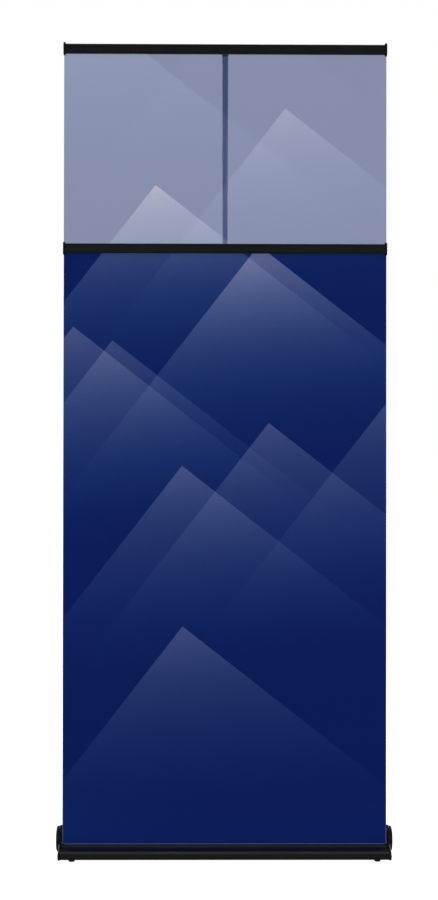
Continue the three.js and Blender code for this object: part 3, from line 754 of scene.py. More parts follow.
@dataclass(frozen=True)
class Artwork:
    """The printed pattern, which runs on from the header to the lower banner.

    Places are in metres: across from the sheet's middle, and up the leaning sheet from the roller.
    """

    ground: Colour = (0.050, 0.124, 0.352)  # as seen on a screen
    foot: Colour = (0.062, 0.150, 0.404)  # the same, painted brighter at the sheet's foot to make up for the shade that falls there, where it gets less light
    foot_lift_rise: float = 0.14  # metres over which the painted brighter foot turns into the plain ground
    tilt: float = -37.9  # degrees that the right-hand edges fall by
    peaks: tuple[Peak, ...] = (
        Peak(-0.46, 2.276, 0.30, 0.9), Peak(0.018, 2.236, 0.06, 0.8), Peak(0.158, 1.938, 0.27),
        Peak(-0.184, 1.735, 0.36), Peak(0.088, 1.576, 0.35, 0.68), Peak(-0.400, 1.361, 0.21, 0.66),
        Peak(-0.297, 1.325, 0.17, 0.66), Peak(0.115, 1.108, 0.20, 0.66), Peak(0.423, 1.158, 0.17, 0.66),
        Peak(-0.113, 0.995, 0.21, 0.66), Peak(-0.111, 0.573, 0.21, 0.66),
    )

    def colour(self, graph: Graph, place: Any) -> Socket:
        """The print's colour at a place on the sheet, painted brighter near its foot to make up for the shade
        there.

        Args:
            graph: The material's graph.
            place: The place's output, in metres.

        Returns:
            The colour's output.
        """
        clouds = graph.noise(graph.stretched(place, (0.6, 5.0, 1.0)), 2.0)
        up = graph.add("ShaderNodeSeparateXYZ", {0: place}).outputs[1]
        # painted light: the ground is painted brighter towards the sheet's foot, to make up for the shade that
        # falls there
        foot_lift_share = graph.spread(up, 0.0, self.foot_lift_rise, 1.0, 0.0)
        plain = graph.mix(foot_lift_share, (*self.ground, 1), (*self.foot, 1))
        over = graph.mix(graph.spread(clouds, 0.3, 0.7, 0.0, 0.006), plain, (1, 1, 1, 1))
        tilt = (0.0, 0.0, math.radians(self.tilt))
        for peak in self.peaks:
            how = {"Apex": (peak.across, peak.up, 0.0), "Strength": peak.strength, "Reach": peak.reach}
            over = PEAK.placed(graph, Under=over, Place=place, Tilt=tilt, **how)["Over"]
        return graph.add("ShaderNodeGamma", {"Color": over, "Gamma": 2.2}).outputs[0]


@dataclass(frozen=True)
class Printed(Finish):
    """Opaque banner cloth with the artwork on its face."""

    artwork: Artwork = Artwork()
    low: float = 0.0  # how far up the sheet the piece's map starts
    length: float = 1.0  # how much of the sheet the map covers
    leader_and_slot_shade: float = 0.0  # how far up the near-black leader goes, which also stands for painted shade in the slot
    corner: float = 0.006  # the radius of the print's lower corners
    edge_highlight_band: tuple[float, float] = (0.0022, 0.0012)  # how far in the painted highlight along the cut edge starts, and where it is full
    edge_highlight_rise: float = 0.6  # how far up the painted highlight along the cut edge shows

    def sheet_place(self, graph: Graph) -> Socket:
        """The place on the sheet in metres, from the piece's own map.

        Args:
            graph: The material's graph.

        Returns:
            The place's output.
        """
        own = graph.add("ShaderNodeUVMap", uv_map="sheet").outputs[0]
        where, size = (-SHEET_END, self.low, 0.0), (2 * SHEET_END, self.length, 1.0)
        return graph.add("ShaderNodeMapping", {"Vector": own, "Location": where, "Scale": size}).outputs[0]

    def dress(self, graph: Graph, shader: bpy.types.Node) -> None:
        """Adds the artwork, the cloth's weave, a painted highlight along its cut edge and the near-black leader,
        which also stands for painted shade in the slot.

        Args:
            graph: The material's graph.
            shader: Its Principled node.
        """
        place = self.sheet_place(graph)
        weave = WEAVE.placed(graph, Place=place)["Height"]
        marks = HANDLING.placed(graph, Place=place, Size=3.0)
        shade = graph.spread(weave, 0.1, 0.9, 0.9, 1.1)
        grey = graph.add("ShaderNodeCombineColor", {0: shade, 1: shade, 2: shade}).outputs[0]
        woven = graph.mix(1.0, self.artwork.colour(graph, place), grey, "MULTIPLY")
        sockets = {
            "Base Color": self.with_edge_highlight_and_leader(graph, place, woven),
            "Roughness": self.roughened(graph, marks["Clouds"], 0.92, 1.1),
            "Specular IOR Level": 0.04,
        }
        graph.fill(shader, sockets)
        self.bump(graph, shader, weave, 0.25, 0.00006)

    def with_edge_highlight_and_leader(self, graph: Graph, place: Any, colour: Any) -> Socket:
        """Paints a pale highlight along the cut edge round the print's foot, and lays the near-black leader under
        it, which also stands for the shade in the slot.

        Args:
            graph: The material's graph.
            place: The place on the sheet.
            colour: The print's colour.

        Returns:
            The colour with both laid over it.
        """
        across, up = graph.add("ShaderNodeSeparateXYZ", {0: place}).outputs[:2]
        across = graph.math("ABSOLUTE", across)
        turn = self.leader_and_slot_shade + self.corner
        past_side = graph.math("MAXIMUM", graph.math("SUBTRACT", across, SHEET_END - self.corner), 0.0)
        past_foot = graph.math("MAXIMUM", graph.math("SUBTRACT", turn, up), 0.0)
        square = graph.math("ADD", graph.math("POWER", past_side, 2.0), graph.math("POWER", past_foot, 2.0))
        out = graph.math("SQRT", square)
        # painted highlight: a pale line along the cut edge, strongest at the foot and fading up the sheet
        highlight_fade = graph.spread(up, self.leader_and_slot_shade, self.leader_and_slot_shade + self.edge_highlight_rise, 0.2, 0.0)
        edge = graph.spread(out, self.corner - self.edge_highlight_band[0], self.corner - self.edge_highlight_band[1], 0.0, 1.0)
        pale = graph.mix(graph.math("MULTIPLY", edge, highlight_fade), colour, (0.5, 0.52, 0.62, 1))
        # painted shade: the near-black leader under the print also stands for the shade in the slot by the lip
        below = graph.spread(out, self.corner - 0.3 * MM, self.corner + 0.3 * MM, 0.0, 1.0)
        dark = graph.math("MULTIPLY", below, graph.math("LESS_THAN", up, turn))
        return graph.mix(dark, pale, (0.001, 0.001, 0.0015, 1))


@dataclass(frozen=True)
class Film(Printed):
    """See-through film with the same artwork."""

    artwork: Artwork = Artwork(ground=(0.047, 0.112, 0.341))
    clear: float = 0.565  # how much of each of the film's two faces is see-through
    tint: Colour = (0.85, 0.87, 1.0)  # of the light that comes through
    gain: Colour = (3.0, 2.45, 1.42)  # how much stronger the print is than on the banner
    haze: Colour = (0.015, 0.030, 0.017)  # the film's own colour, added to the print's

    def dress(self, graph: Graph, shader: bpy.types.Node) -> None:
        """Adds the artwork, the see-through share and the film's slight unevenness.

        Args:
            graph: The material's graph.
            shader: Its Principled node.
        """
        place = self.sheet_place(graph)
        strong = graph.mix(1.0, self.artwork.colour(graph, place), (*self.gain, 1), "MULTIPLY")
        marks = HANDLING.placed(graph, Place=place, Size=4.0)
        sockets = {
            "Base Color": graph.mix(1.0, strong, (*self.haze, 1), "ADD"),
            "Specular IOR Level": 0.05,
            "Roughness": self.roughened(graph, marks["Clouds"], 0.85, 1.2),
        }
        graph.fill(shader, sockets)
        through = graph.add("ShaderNodeBsdfTransparent", {0: (*self.tint, 1)})
        both = graph.add("ShaderNodeMixShader", {0: self.clear, 1: shader.outputs[0], 2: through.outputs[0]})
        graph.fill(graph.tree.nodes["Material Output"], {0: both.outputs[0]})
        ripple = graph.noise(graph.stretched(place, (60.0, 6.0, 1.0)), 1.0)
        self.bump(graph, shader, ripple, 0.2, 0.0002)


@dataclass(frozen=True)
class SheetBack(Finish):
    """The plain grey back of the printed cloth."""

    length: float = 1.57  # metres of sheet that the piece's map covers

    def dress(self, graph: Graph, shader: bpy.types.Node) -> None:
        """Adds the weave and cloudy tone of an unprinted back.

        Args:
            graph: The material's graph.
            shader: Its Principled node.
        """
        own = graph.add("ShaderNodeUVMap", uv_map="sheet").outputs[0]
        place = graph.stretched(own, (2 * SHEET_END, self.length, 1.0))
        weave = WEAVE.placed(graph, Place=place)["Height"]
        marks = HANDLING.placed(graph, Place=place, Size=6.0)
        sockets = {
            "Base Color": self.lightened(graph, graph.math("MULTIPLY", marks["Clouds"], 0.5), 1.15),
            "Roughness": graph.spread(weave, 0.2, 0.9, self.roughness * 0.9, self.roughness),
        }
        graph.fill(shader, sockets)
        self.bump(graph, shader, weave, 0.3, 0.00008)


BLACK_ANODISED = DrawnMetal("black anodised", "black_anodised", (0.0014, 0.0017, 0.0024), 0.38, specular=0.19)
SILVER_ANODISED = DrawnMetal(
    "silver anodised", "silver_anodised", (0.62, 0.59, 0.53), 0.36, metallic=0.9, stretch=(700, 700, 3)
)
MILL_ALUMINIUM = DrawnMetal("mill aluminium", "mill_aluminium", (0.6, 0.61, 0.63), 0.4, metallic=1.0)
BLACK_PLASTIC = Moulded("black plastic", "black_plastic", (0.0018, 0.0019, 0.0023), 0.36, specular=0.12)
BLACK_RUBBER = Moulded("black rubber", "black_rubber", (0.010, 0.010, 0.011), 0.8, grain=900.0, lift=2.2)
PALE_NYLON = Moulded("pale nylon", "pale_nylon", (0.66, 0.64, 0.58), 0.5, grain=700.0, lift=1.1)
NICKEL = Plated("nickel plate", "bright_screw", (0.72, 0.73, 0.75), 0.22)
ZINC = Plated("zinc plate", "zinc_steel", (0.5, 0.52, 0.55), 0.36, scratch=250.0)
SPRING_STEEL = Plated("spring steel", "spring_steel", (0.24, 0.25, 0.27), 0.38)
SHEET_GREY = SheetBack("sheet back", "navy_print", (0.33, 0.335, 0.345), 0.75)
ROLL_PRINT = Moulded("rolled print", "navy_print", (0.012, 0.02, 0.1), 0.6, grain=600.0)


# ---- Pieces ----------------------------------------------------------------------------------------------
def lay_down(
    name: str,
    shape: Shape | bpy.types.Mesh,
    finishes: Sequence[Finish],
    body: Body,
    nodes: Sequence[str],
    smooth: float = 32.0,
) -> bpy.types.Object:
    """Makes a finished piece that stands for nodes of the frame.

    Args:
        name: The piece's name.
        shape: Its shape, already in place.
        finishes: Its finishes, one for each material index.
        body: The body that it moves with.
        nodes: The frame's nodes that it stands for.
        smooth: The angle in degrees up to which faces are shaded as one surface.

    Returns:
        The piece.
    """
    data = shape.mesh(name) if isinstance(shape, Shape) else shape
    data.name = name
    for finish in finishes:
        data.materials.append(finish.material())
    data.shade_smooth()
    data.set_sharp_from_angle(angle=math.radians(smooth))
    made = linked(name, data)
    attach(made, body.value)
    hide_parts(*nodes)
    log.info("%s: %d faces, on %s", name, len(data.polygons), body.value)
    return made


@dataclass
class Screw:
    """A pan-head screw with a plain cross recess, made about +Z with its seat at z = 0."""

    head_radius: float = 3.4 * MM
    head_height: float = 2.2 * MM
    shank_radius: float = 1.6 * MM
    shank_length: float = 21 * MM

    def shape(self) -> Shape:
        """The screw's shape: a domed head, a cross recess and a shank with a blunt tip.

        Returns:
            The screw.
        """
        r, h, s = self.head_radius, self.head_height, self.shank_radius
        profile = [
            (0, -self.shank_length), (s * 0.6, -self.shank_length), (s, -self.shank_length + 0.8 * MM),
            (s, 0), (r * 0.96, 0), (r, 0.15 * MM), (r, h * 0.35), (r * 0.93, h * 0.62), (r * 0.75, h * 0.85),
            (r * 0.4, h * 0.98), (0, h),
        ]
        body = Shape.turned(profile, 32, closed=False)
        wide, thin, deep = r * 0.56, r * 0.13, h * 0.45
        arms = [
            Shape.block((-wide, -thin, deep), (wide, thin, h + MM)),
            Shape.block((-thin, -wide, deep), (thin, wide, h + MM)),
        ]
        return body.carved(*arms)


@dataclass
class Cassette:
    """The low housing: a teardrop extrusion, its end caps, their screws and four feet."""

    depth: float = 170 * MM
    wall: float = 2 * MM
    sole: float = 6 * MM
    nose_height: float = 31 * MM
    lip_height: float = 35 * MM
    hump_height: float = 80 * MM
    hump_foot: float = 52 * MM
    tail_height: float = 22 * MM
    crest: float = BANNER_Y + 30 * MM
    slot_front: float = 3.6 * MM
    slot_rear: float = 3.5 * MM
    cap_inner: float = SHELL_END + 0.3 * MM
    cap_face: float = SHELL_END + 6.3 * MM
    dome_face: float = SHELL_END + 14 * MM
    dome_radius: float = 34.5 * MM
    overhang: float = 1.5 * MM

    @property
    def ports(self) -> dict[str, Point]:
        """Each cap screw's name, with its y and z.

        Returns:
            The places by name.
        """
        return {
            "hump_front": (BANNER_Y + self.slot_rear + 9 * MM, self.hump_height - 14 * MM),
            "hump_rear": (self.crest + 12 * MM, self.hump_height - 6.5 * MM),
            "nose": (-self.depth / 2 + 6 * MM, 15 * MM),
            "tail": (self.depth / 2 - 6 * MM, 15 * MM),
        }

    def outer_line(self, inset: float) -> list[Point]:
        """The extrusion's section from the slot's rear edge over the hump, under the floor and up the nose.

        Args:
            inset: How far inside the outer surface the line runs.

        Returns:
            The line's points.
        """
        front, rear = -self.depth / 2 + inset, self.depth / 2 - inset
        top, nose, sole = self.hump_height - inset, self.nose_height - inset, self.sole + inset
        hump_front = BANNER_Y + self.slot_rear + inset
        line = [(hump_front, self.hump_foot)]
        line += curve(
            line[-1], (hump_front, top - 10 * MM), (self.crest - 14 * MM + inset, top), (self.crest, top), 16
        )
        line += curve(
            line[-1], (self.crest + 36 * MM - inset, top), (rear - 8 * MM, self.tail_height + 30 * MM),
            (rear, self.tail_height), 30,
        )
        line += arc(rear - 1.2 * MM, sole + 1.2 * MM, 1.2 * MM, 0, -90, 4)
        line += arc(front + 1.2 * MM, sole + 1.2 * MM, 1.2 * MM, -90, -180, 4)
        line.append((front, 12 * MM))
        line += curve(
            line[-1], (front, nose - 9 * MM), (front + 12 * MM, nose), (front + 25 * MM, nose), 20
        )
        return line

    def shell(self) -> Shape:
        """The extrusion, open at its slot, with a raised lip in front of it and ribs over its floor.

        Returns:
            The extrusion.
        """
        back = BANNER_Y - self.slot_front
        lip = [
            (back - 6.2 * MM, self.nose_height), (back - 4.2 * MM, self.nose_height + 2.2 * MM),
            (back - 2.8 * MM, self.lip_height - 1.4 * MM),
            *arc(back - 1.25 * MM, self.lip_height - 1.25 * MM, 1.25 * MM, 160, 0, 6),
            (back, self.nose_height - self.wall),
        ]
        outer = self.grooved(self.outer_line(0))
        section = outer + lip + list(reversed(self.outer_line(self.wall)))
        body = Shape.prism(section, -SHELL_END, SHELL_END)
        ribs = [
            Shape.block((-SHELL_END, y - 5 * MM, self.sole + MM), (SHELL_END, y + 5 * MM, 16 * MM))
            for y in (-71 * MM, 69 * MM)
        ]
        socket = Shape.rod(14.3 * MM, 8 * MM, 90 * MM, 64).moved(0, POLE_Y, 0)
        return body.joined(*ribs).carved(socket)

    def grooved(self, line: list[Point]) -> list[Point]:
        """Adds two fine lengthwise grooves to the nose's flat top.

        Args:
            line: The section's line so far, which is added to.

        Returns:
            The line with the grooves at its end.
        """
        front = -self.depth / 2
        top = self.nose_height
        half, deep = 0.5 * MM, 0.6 * MM
        for y in (front + 30 * MM, front + 33 * MM):
            line += [(y - half, top), (y, top - deep), (y + half, top)]
        return line

    def cap_outline(self) -> list[Point]:
        """The end cap's outline, a little outside the extrusion all round.

        Returns:
            The outline's points.
        """
        front, rear = -self.depth / 2 - self.overhang, self.depth / 2 + self.overhang
        top, nose = self.hump_height + self.overhang, self.nose_height + self.overhang
        sole = self.sole - self.overhang
        crest, high = self.crest, self.tail_height
        line = [(rear, sole), (rear, high)]
        line += curve(line[-1], (rear - 8 * MM, high + 30 * MM), (crest + 36 * MM, top), (crest, top), 30)
        neck = (BANNER_Y - 3 * MM, self.hump_foot - 4 * MM)
        line += curve(line[-1], (crest - 20 * MM, top), (BANNER_Y - 2 * MM, top - 12 * MM), neck, 18)
        shoulder = (BANNER_Y - 30 * MM, nose)
        below_neck, above_shoulder = (BANNER_Y - 5 * MM, nose + 9 * MM), (BANNER_Y - 16 * MM, nose + 3 * MM)
        line += curve(neck, below_neck, above_shoulder, shoulder, 12)
        line += curve(shoulder, (front + 9 * MM, nose - MM), (front, nose - 8 * MM), (front, 13 * MM), 14)
        return line + [(front, sole)]

    def end_cap(self) -> Shape:
        """The right-hand end cap: a rounded flange, a dome over the hump and sunk seats for its screws.

        Returns:
            The cap, in place.
        """
        flange = Shape.prism(self.cap_outline(), self.cap_inner, self.cap_face)
        rim = [e for e in flange.bm.edges if all(v.co.x > self.cap_face - 1e-6 for v in e.verts)]
        flange.beveled(rim, 4.2 * MM, 6)
        disc = Shape.rod(self.dome_radius, self.cap_inner, self.dome_face, 96)
        edge = [e for e in disc.bm.edges if all(v.co.z > self.dome_face - 1e-6 for v in e.verts)]
        ring = [e for e in edge if all(v.co.xy.length > self.dome_radius - 1e-6 for v in e.verts)]
        disc.beveled(ring, 7 * MM, 8).placed(ALONG_X)
        disc.moved(0, self.crest - MM, self.hump_height - self.dome_radius)
        hub = Shape.rod(12 * MM, SHELL_END - 0.7 * MM, SHELL_END + MM, 48).placed(ALONG_X)
        hub.moved(0, ROLLER_Y, ROLLER_Z)
        seats = [
            Shape.rod(4 * MM, self.cap_face - MM, self.dome_face + MM, 32).placed(ALONG_X).moved(0, y, z)
            for y, z in self.ports.values()
        ]
        return flange.joined(disc, hub).carved(*seats)

    def foot(self) -> Shape:
        """One rubber foot about Z, with a recess for its screw and fine rings round its side.

        Returns:
            The foot, standing on z = 0.
        """
        profile = [
            (1.9, 5.7), (8.6, 5.7), (9, 5.3), (9, 4.6), (8.6, 4.4), (8.7, 3.9), (8.2, 2.9), (7.9, 2.8),
            (7.9, 2.4), (7.3, 0.4), (6.9, 0), (3.7, 0), (3.7, 2.8), (1.9, 2.8),
        ]
        return Shape.turned([(r * MM, z * MM) for r, z in profile], 48)

    def build(self) -> None:
        """Makes the housing's pieces."""
        lay_down("cassette_body", self.shell(), [BLACK_ANODISED], Body.BASE, ["cassette_shell"])
        cap = self.end_cap()
        screw = Screw().shape()
        for side in Side:
            name = f"{side.word}_end_cap"
            lay_down(f"{name}_moulding", cap.copy().placed(side.turn), [BLACK_PLASTIC], Body.BASE, [name], 40)
            for port, (y, z) in self.ports.items():
                seat = Matrix.Translation((self.cap_face - 0.7 * MM, y, z)) @ ALONG_X
                node = f"{side.word}_cap_screw_{port}"
                made = screw.copy().placed(side.turn @ seat)
                lay_down(f"{node}_pan", made, [NICKEL], Body.BASE, [node], 30)
        self.build_feet()

    def build_feet(self) -> None:
        """Makes the four feet and their screws."""
        foot = self.foot()
        screw = Screw(shank_length=12.5 * MM).shape().placed(Matrix.Rotation(math.pi, 4, "X"))
        for corner in ("front_left", "front_right", "rear_left", "rear_right"):
            low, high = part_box(f"{corner}_foot")
            middle = (low + high) / 2
            node = f"{corner}_foot"
            lay_down(f"{node}_rubber", foot.copy().moved(middle.x, middle.y, 0), [BLACK_RUBBER], Body.BASE, [node])
            made = screw.copy().moved(middle.x, middle.y, 2.5 * MM)
            lay_down(f"{node}_fixing", made, [ZINC], Body.BASE, [f"{node}_screw"])


@dataclass
class SpringRoller:
    """The roller with the turns of print left on it, its plugs, fixed axle and torsion spring."""

    radius: float = 15 * MM
    bore: float = 13.5 * MM
    end: float = 424 * MM
    roll_radius: float = 20 * MM
    turns: float = 8.0
    cloth: float = 0.42 * MM
    axle_radius: float = 5 * MM
    coil_radius: float = 8 * MM
    coil_turns: int = 40

    @property
    def place(self) -> Matrix:
        """Turns a shape about +Z to lie along the roller's axis."""
        return Matrix.Translation((0, ROLLER_Y, ROLLER_Z)) @ ALONG_X

    def on_axis(self, profile: Sequence[Point], steps: int = 48, closed: bool = True) -> Shape:
        """A profile of radius and x in millimetres, turned round the roller's axis."""
        return Shape.turned([(r * MM, x * MM) for r, x in profile], steps, closed).placed(self.place)

    def roll(self) -> Shape:
        """The print left on the roller, as one cloth wound in a spiral.

        Returns:
            The wound cloth, in place.
        """
        shape = Shape()
        steps = 36
        inner, outer = self.radius + 0.5 * MM, self.roll_radius - self.cloth / 2
        spots = []
        for i in range(int(self.turns * steps) + 1):
            share = i / (self.turns * steps)
            angle = math.pi - math.tau * self.turns * (1 - share)
            r = inner + (outer - inner) * share
            spots.append(
                shape.bm.verts.new((-SHEET_END, ROLLER_Y + r * math.cos(angle), ROLLER_Z + r * math.sin(angle)))
            )
        edges = [shape.bm.edges.new(pair) for pair in zip(spots, spots[1:])]
        made = bmesh.ops.extrude_edge_only(shape.bm, edges=edges)
        far = [v for v in made["geom"] if isinstance(v, bmesh.types.BMVert)]
        bmesh.ops.translate(shape.bm, verts=far, vec=(2 * SHEET_END, 0, 0))
        bmesh.ops.recalc_face_normals(shape.bm, faces=shape.bm.faces[:])
        bmesh.ops.solidify(shape.bm, geom=shape.bm.faces[:], thickness=self.cloth)
        return shape.tidied()

    def spring(self) -> Shape:
        """The torsion spring, a wire circle screwed along the axle.

        Returns:
            The spring, in place.
        """
        shape = Shape()
        wire = 1 * MM
        start, length = 200.7 * MM, 202 * MM
        turned = Matrix.Translation((start, ROLLER_Y, ROLLER_Z + self.coil_radius)) @ Matrix.Rotation(
            math.radians(90), 4, "X"
        )
        made = bmesh.ops.create_circle(shape.bm, cap_ends=True, radius=wire, segments=8, matrix=turned)
        face = made["verts"][0].link_faces[0]
        steps = self.coil_turns * 20
        bmesh.ops.spin(
            shape.bm, geom=[face, *face.edges, *face.verts], cent=(0, ROLLER_Y, ROLLER_Z), axis=(1, 0, 0),
            dvec=((length - 2 * wire) / steps, 0, 0), angle=math.tau * self.coil_turns, steps=steps,
            use_merge=False, use_duplicate=False,
        )
        return shape.tidied()

    def build(self) -> None:
        """Makes the roller's pieces."""
        end, bore = self.end / MM, self.bore / MM
        tube = [(bore, -end), (15, -end), (15, end), (bore, end)]
        lay_down("roller_core", self.on_axis(tube, 64), [MILL_ALUMINIUM], Body.ROLLER, ["roller_tube"])
        roll = lay_down("print_roll", self.roll(), [ROLL_PRINT], Body.ROLLER, ["wound_banner"])
        face, inner = 426.8, 404
        plug = [(5.6, inner), (bore - 0.3, inner), (bore - 0.3, 424), (15, 424.3), (15, face), (5.6, face)]
        made = self.on_axis(plug).softened(0.3 * MM, 1)
        lay_down("drive_plug", made, [PALE_NYLON], Body.ROLLER, ["roller_drive_plug"])
        flange = [(bore - 0.3, inner), (bore - 0.3, 424), (15, 424.3), (15, face)]
        idler = [(0, inner), *flange, (5, face), (5, 436), (4.4, 436.4), (0, 436.4)]
        made = self.on_axis(idler, closed=False).placed(MIRROR_X)
        lay_down("idler_plug", made, [PALE_NYLON], Body.ROLLER, ["roller_idler_plug"])
        bush = [(5.3, 427.4), (7.8, 427.4), (7.8, 436.7), (5.3, 436.7)]
        made = self.on_axis(bush).softened(0.3 * MM, 1).placed(MIRROR_X)
        lay_down("idler_bearing", made, [PALE_NYLON], Body.BASE, ["idler_bush"])
        lay_down("fixed_axle", self.axle(), [ZINC], Body.BASE, ["roller_axle"])
        lay_down("wound_spring", self.spring(), [SPRING_STEEL], Body.BASE, ["torsion_spring"], 60)

    def axle(self) -> Shape:
        """The fixed axle: square in the end cap, round through the spring, with an anchor at its end.

        Returns:
            The axle, in place.
        """
        r = self.axle_radius
        inner, outer = 427.8 * MM, 436.7 * MM
        square = Shape.block((inner, ROLLER_Y - r, ROLLER_Z - r), (outer, ROLLER_Y + r, ROLLER_Z + r))
        square.softened(0.5 * MM, 2)
        spindle = self.on_axis([(0, 194.7), (5, 194.7), (5, 428.8), (0, 428.8)], closed=False)
        anchored = [(0, 192.7), (8.6, 192.7), (9, 193.1), (9, 199), (8.6, 199.4), (0, 199.4)]
        anchor = self.on_axis(anchored, closed=False)
        return spindle.joined(square, anchor)


@dataclass
class Rails:
    """The snap-open top rail and the screwed mid rail, with their end caps."""

    half: float = 12.5 * MM
    wall: float = 1.7 * MM
    front: float = -5.5 * MM
    back: float = 8.5 * MM
    clamp: float = 0.55 * MM
    slot: float = 3 * MM
    bead_radius: float = 1.3 * MM
    cap_inner: float = 421.2 * MM
    cap_end: float = 426.9 * MM
    screws: int = 5
    screw_pitch: float = 190 * MM

    @property
    def bead(self) -> Point:
        """The snap hinge's y and z in the rail."""
        return 2 * self.bead_radius + self.front, self.half - 2 * self.bead_radius

    def channel(self) -> list[Point]:
        """The section both backs share: a clamping wall and a T-slot open to the rear.

        Returns:
            The section's points.
        """
        h, w, c, b, s = self.half, self.wall, self.clamp, self.back, self.slot
        upper = [(b - w, s), (b, s), (b, h), (c, h)]
        inner = [(c + w, h - w), (b - w, h - w)]
        down = [(y, -z) for y, z in reversed(inner + upper)]
        return down + inner + upper

    def front_line(self) -> list[Point]:
        """The front face from its lower edge to its upper edge, with a fine groove by each.

        Returns:
            The line's points.
        """
        at, half, deep = self.half - 2.4 * MM, 0.35 * MM, 0.5 * MM
        line = []
        for z in (-at, at):
            line += [(self.front, z - half), (self.front + deep, z), (self.front, z + half)]
        return line

    def jaw(self) -> Shape:
        """The top rail's jaw: a hook round the bead, a grooved face and a leg that grips the film.

        Returns:
            The jaw, at the rail's own height.
        """
        y, z = self.bead
        inner, outer = self.bead_radius + 0.3 * MM, 2 * self.bead_radius
        end = self.cap_inner - 0.3 * MM
        meet = math.degrees(math.acos((self.front + self.wall - y) / outer))
        section = [
            *self.front_line()[:3], *arc(y, z, outer, 180, 80, 14), *arc(y, z, inner, 80, 280, 22),
            *arc(y, z, outer, 280, 360 - meet, 4), (self.front + self.wall, self.wall - self.half),
            (-self.clamp, self.wall - self.half), (-self.clamp, -self.half),
            (self.front + 0.9 * MM, -self.half),
            *arc(self.front + 0.9 * MM, 0.9 * MM - self.half, 0.9 * MM, 260, 190, 4),
        ]
        return Shape.prism(section, -end, end)

    def top_back(self) -> Shape:
        """The top rail's back, with the neck and bead that the jaw turns on.

        Returns:
            The back, at the rail's own height.
        """
        y, z = self.bead
        body = Shape.prism(self.channel(), -RAIL_END, RAIL_END, 0.3 * MM)
        neck = Shape.block((-RAIL_END, y, z - 0.6 * MM), (RAIL_END, self.clamp + MM, z + 0.6 * MM))
        bead = Shape.rod(self.bead_radius, -RAIL_END, RAIL_END, 28).placed(ALONG_X)
        bead.moved(0, y, z)
        return body.joined(neck, bead)

    def mid_front(self) -> Shape:
        """The mid rail's front bar, hollow behind its face but for a middle rib.

        Returns:
            The bar, at the rail's own height.
        """
        f, w, c, h, rib = self.front, self.wall, self.clamp, self.half, 3.3 * MM
        soft = 0.9 * MM
        section = [
            *arc(f + soft, soft - h, soft, 180, 270, 4)[::-1], *self.front_line(),
            *arc(f + soft, h - soft, soft, 180, 90, 4), (-c, h), (-c, h - w), (f + w, h - w), (f + w, rib),
            (-c, rib), (-c, -rib), (f + w, -rib), (f + w, w - h), (-c, w - h), (-c, -h),
        ]
        return Shape.prism(section, -RAIL_END, RAIL_END)

    def cap(self, opening: float) -> Shape:
        """A rail's right-hand end cap: a rounded shoe with a socket for the rail and a slot for the sheet.

        Args:
            opening: The y of the front of the socket.

        Returns:
            The cap, at the rail's own height.
        """
        middle = (self.front + self.back) / 2
        y0, y1, high, radius = middle - 10 * MM, middle + 10 * MM, self.half + 4.5 * MM, 7 * MM
        outline = [
            *arc(y1 - radius, radius - high, radius, -90, 0, 8),
            *arc(y1 - radius, high - radius, radius, 0, 90, 8),
            *arc(y0 + radius, high - radius, radius, 90, 180, 8),
            *arc(y0 + radius, radius - high, radius, 180, 270, 8),
        ]
        body = Shape.prism(outline, self.cap_inner, self.cap_end).softened(1.3 * MM, 3, 60)
        edge = self.half + 0.3 * MM
        inside, loose = 400 * MM, 0.3 * MM
        socket = Shape.block((inside, opening - loose, -edge), (RAIL_END + loose, self.back + loose, edge))
        slot = Shape.block((inside, -self.clamp, -high - MM), (SHEET_END + loose, self.clamp, high + MM))
        return body.carved(socket, slot)

    def build(self) -> None:
        """Makes both rails' pieces."""
        top, mid = (LEANING @ Matrix.Translation((0, 0, up)) for up in (TOP_UP, MID_UP))
        finish = [BLACK_ANODISED]
        lay_down("top_rail_channel", self.top_back().placed(top), finish, Body.HEAD, ["top_rail_back"])
        lay_down("top_rail_snap_jaw", self.jaw().placed(top), finish, Body.JAW, ["top_rail_jaw"])
        back = Shape.prism(self.channel(), -RAIL_END, RAIL_END, 0.3 * MM)
        lay_down("mid_rail_channel", back.placed(mid), finish, Body.HEAD, ["mid_rail_back"])
        lay_down("mid_rail_bar", self.mid_front().placed(mid), finish, Body.HEAD, ["mid_rail_front"])
        for tier, place, opening in (("top", top, self.bead[0] - self.bead_radius), ("mid", mid, self.front)):
            cap = self.cap(opening)
            for side in Side:
                node = f"{tier}_rail_{side.word}_cap"
                lay_down(f"{node}_shoe", cap.copy().placed(place @ side.turn), [BLACK_PLASTIC], Body.HEAD, [node])
        screw = Screw(head_radius=2.7 * MM, shank_length=6.5 * MM).shape().placed(ALONG_Y)
        for i in range(self.screws):
            across = (i - (self.screws - 1) / 2) * self.screw_pitch
            at = Matrix.Translation((across, self.clamp + self.wall + 0.3 * MM, 0))
            node = f"mid_rail_screw_{i + 1}"
            lay_down(f"{node}_pan", screw.copy().placed(mid @ at), [NICKEL], Body.HEAD, [node])


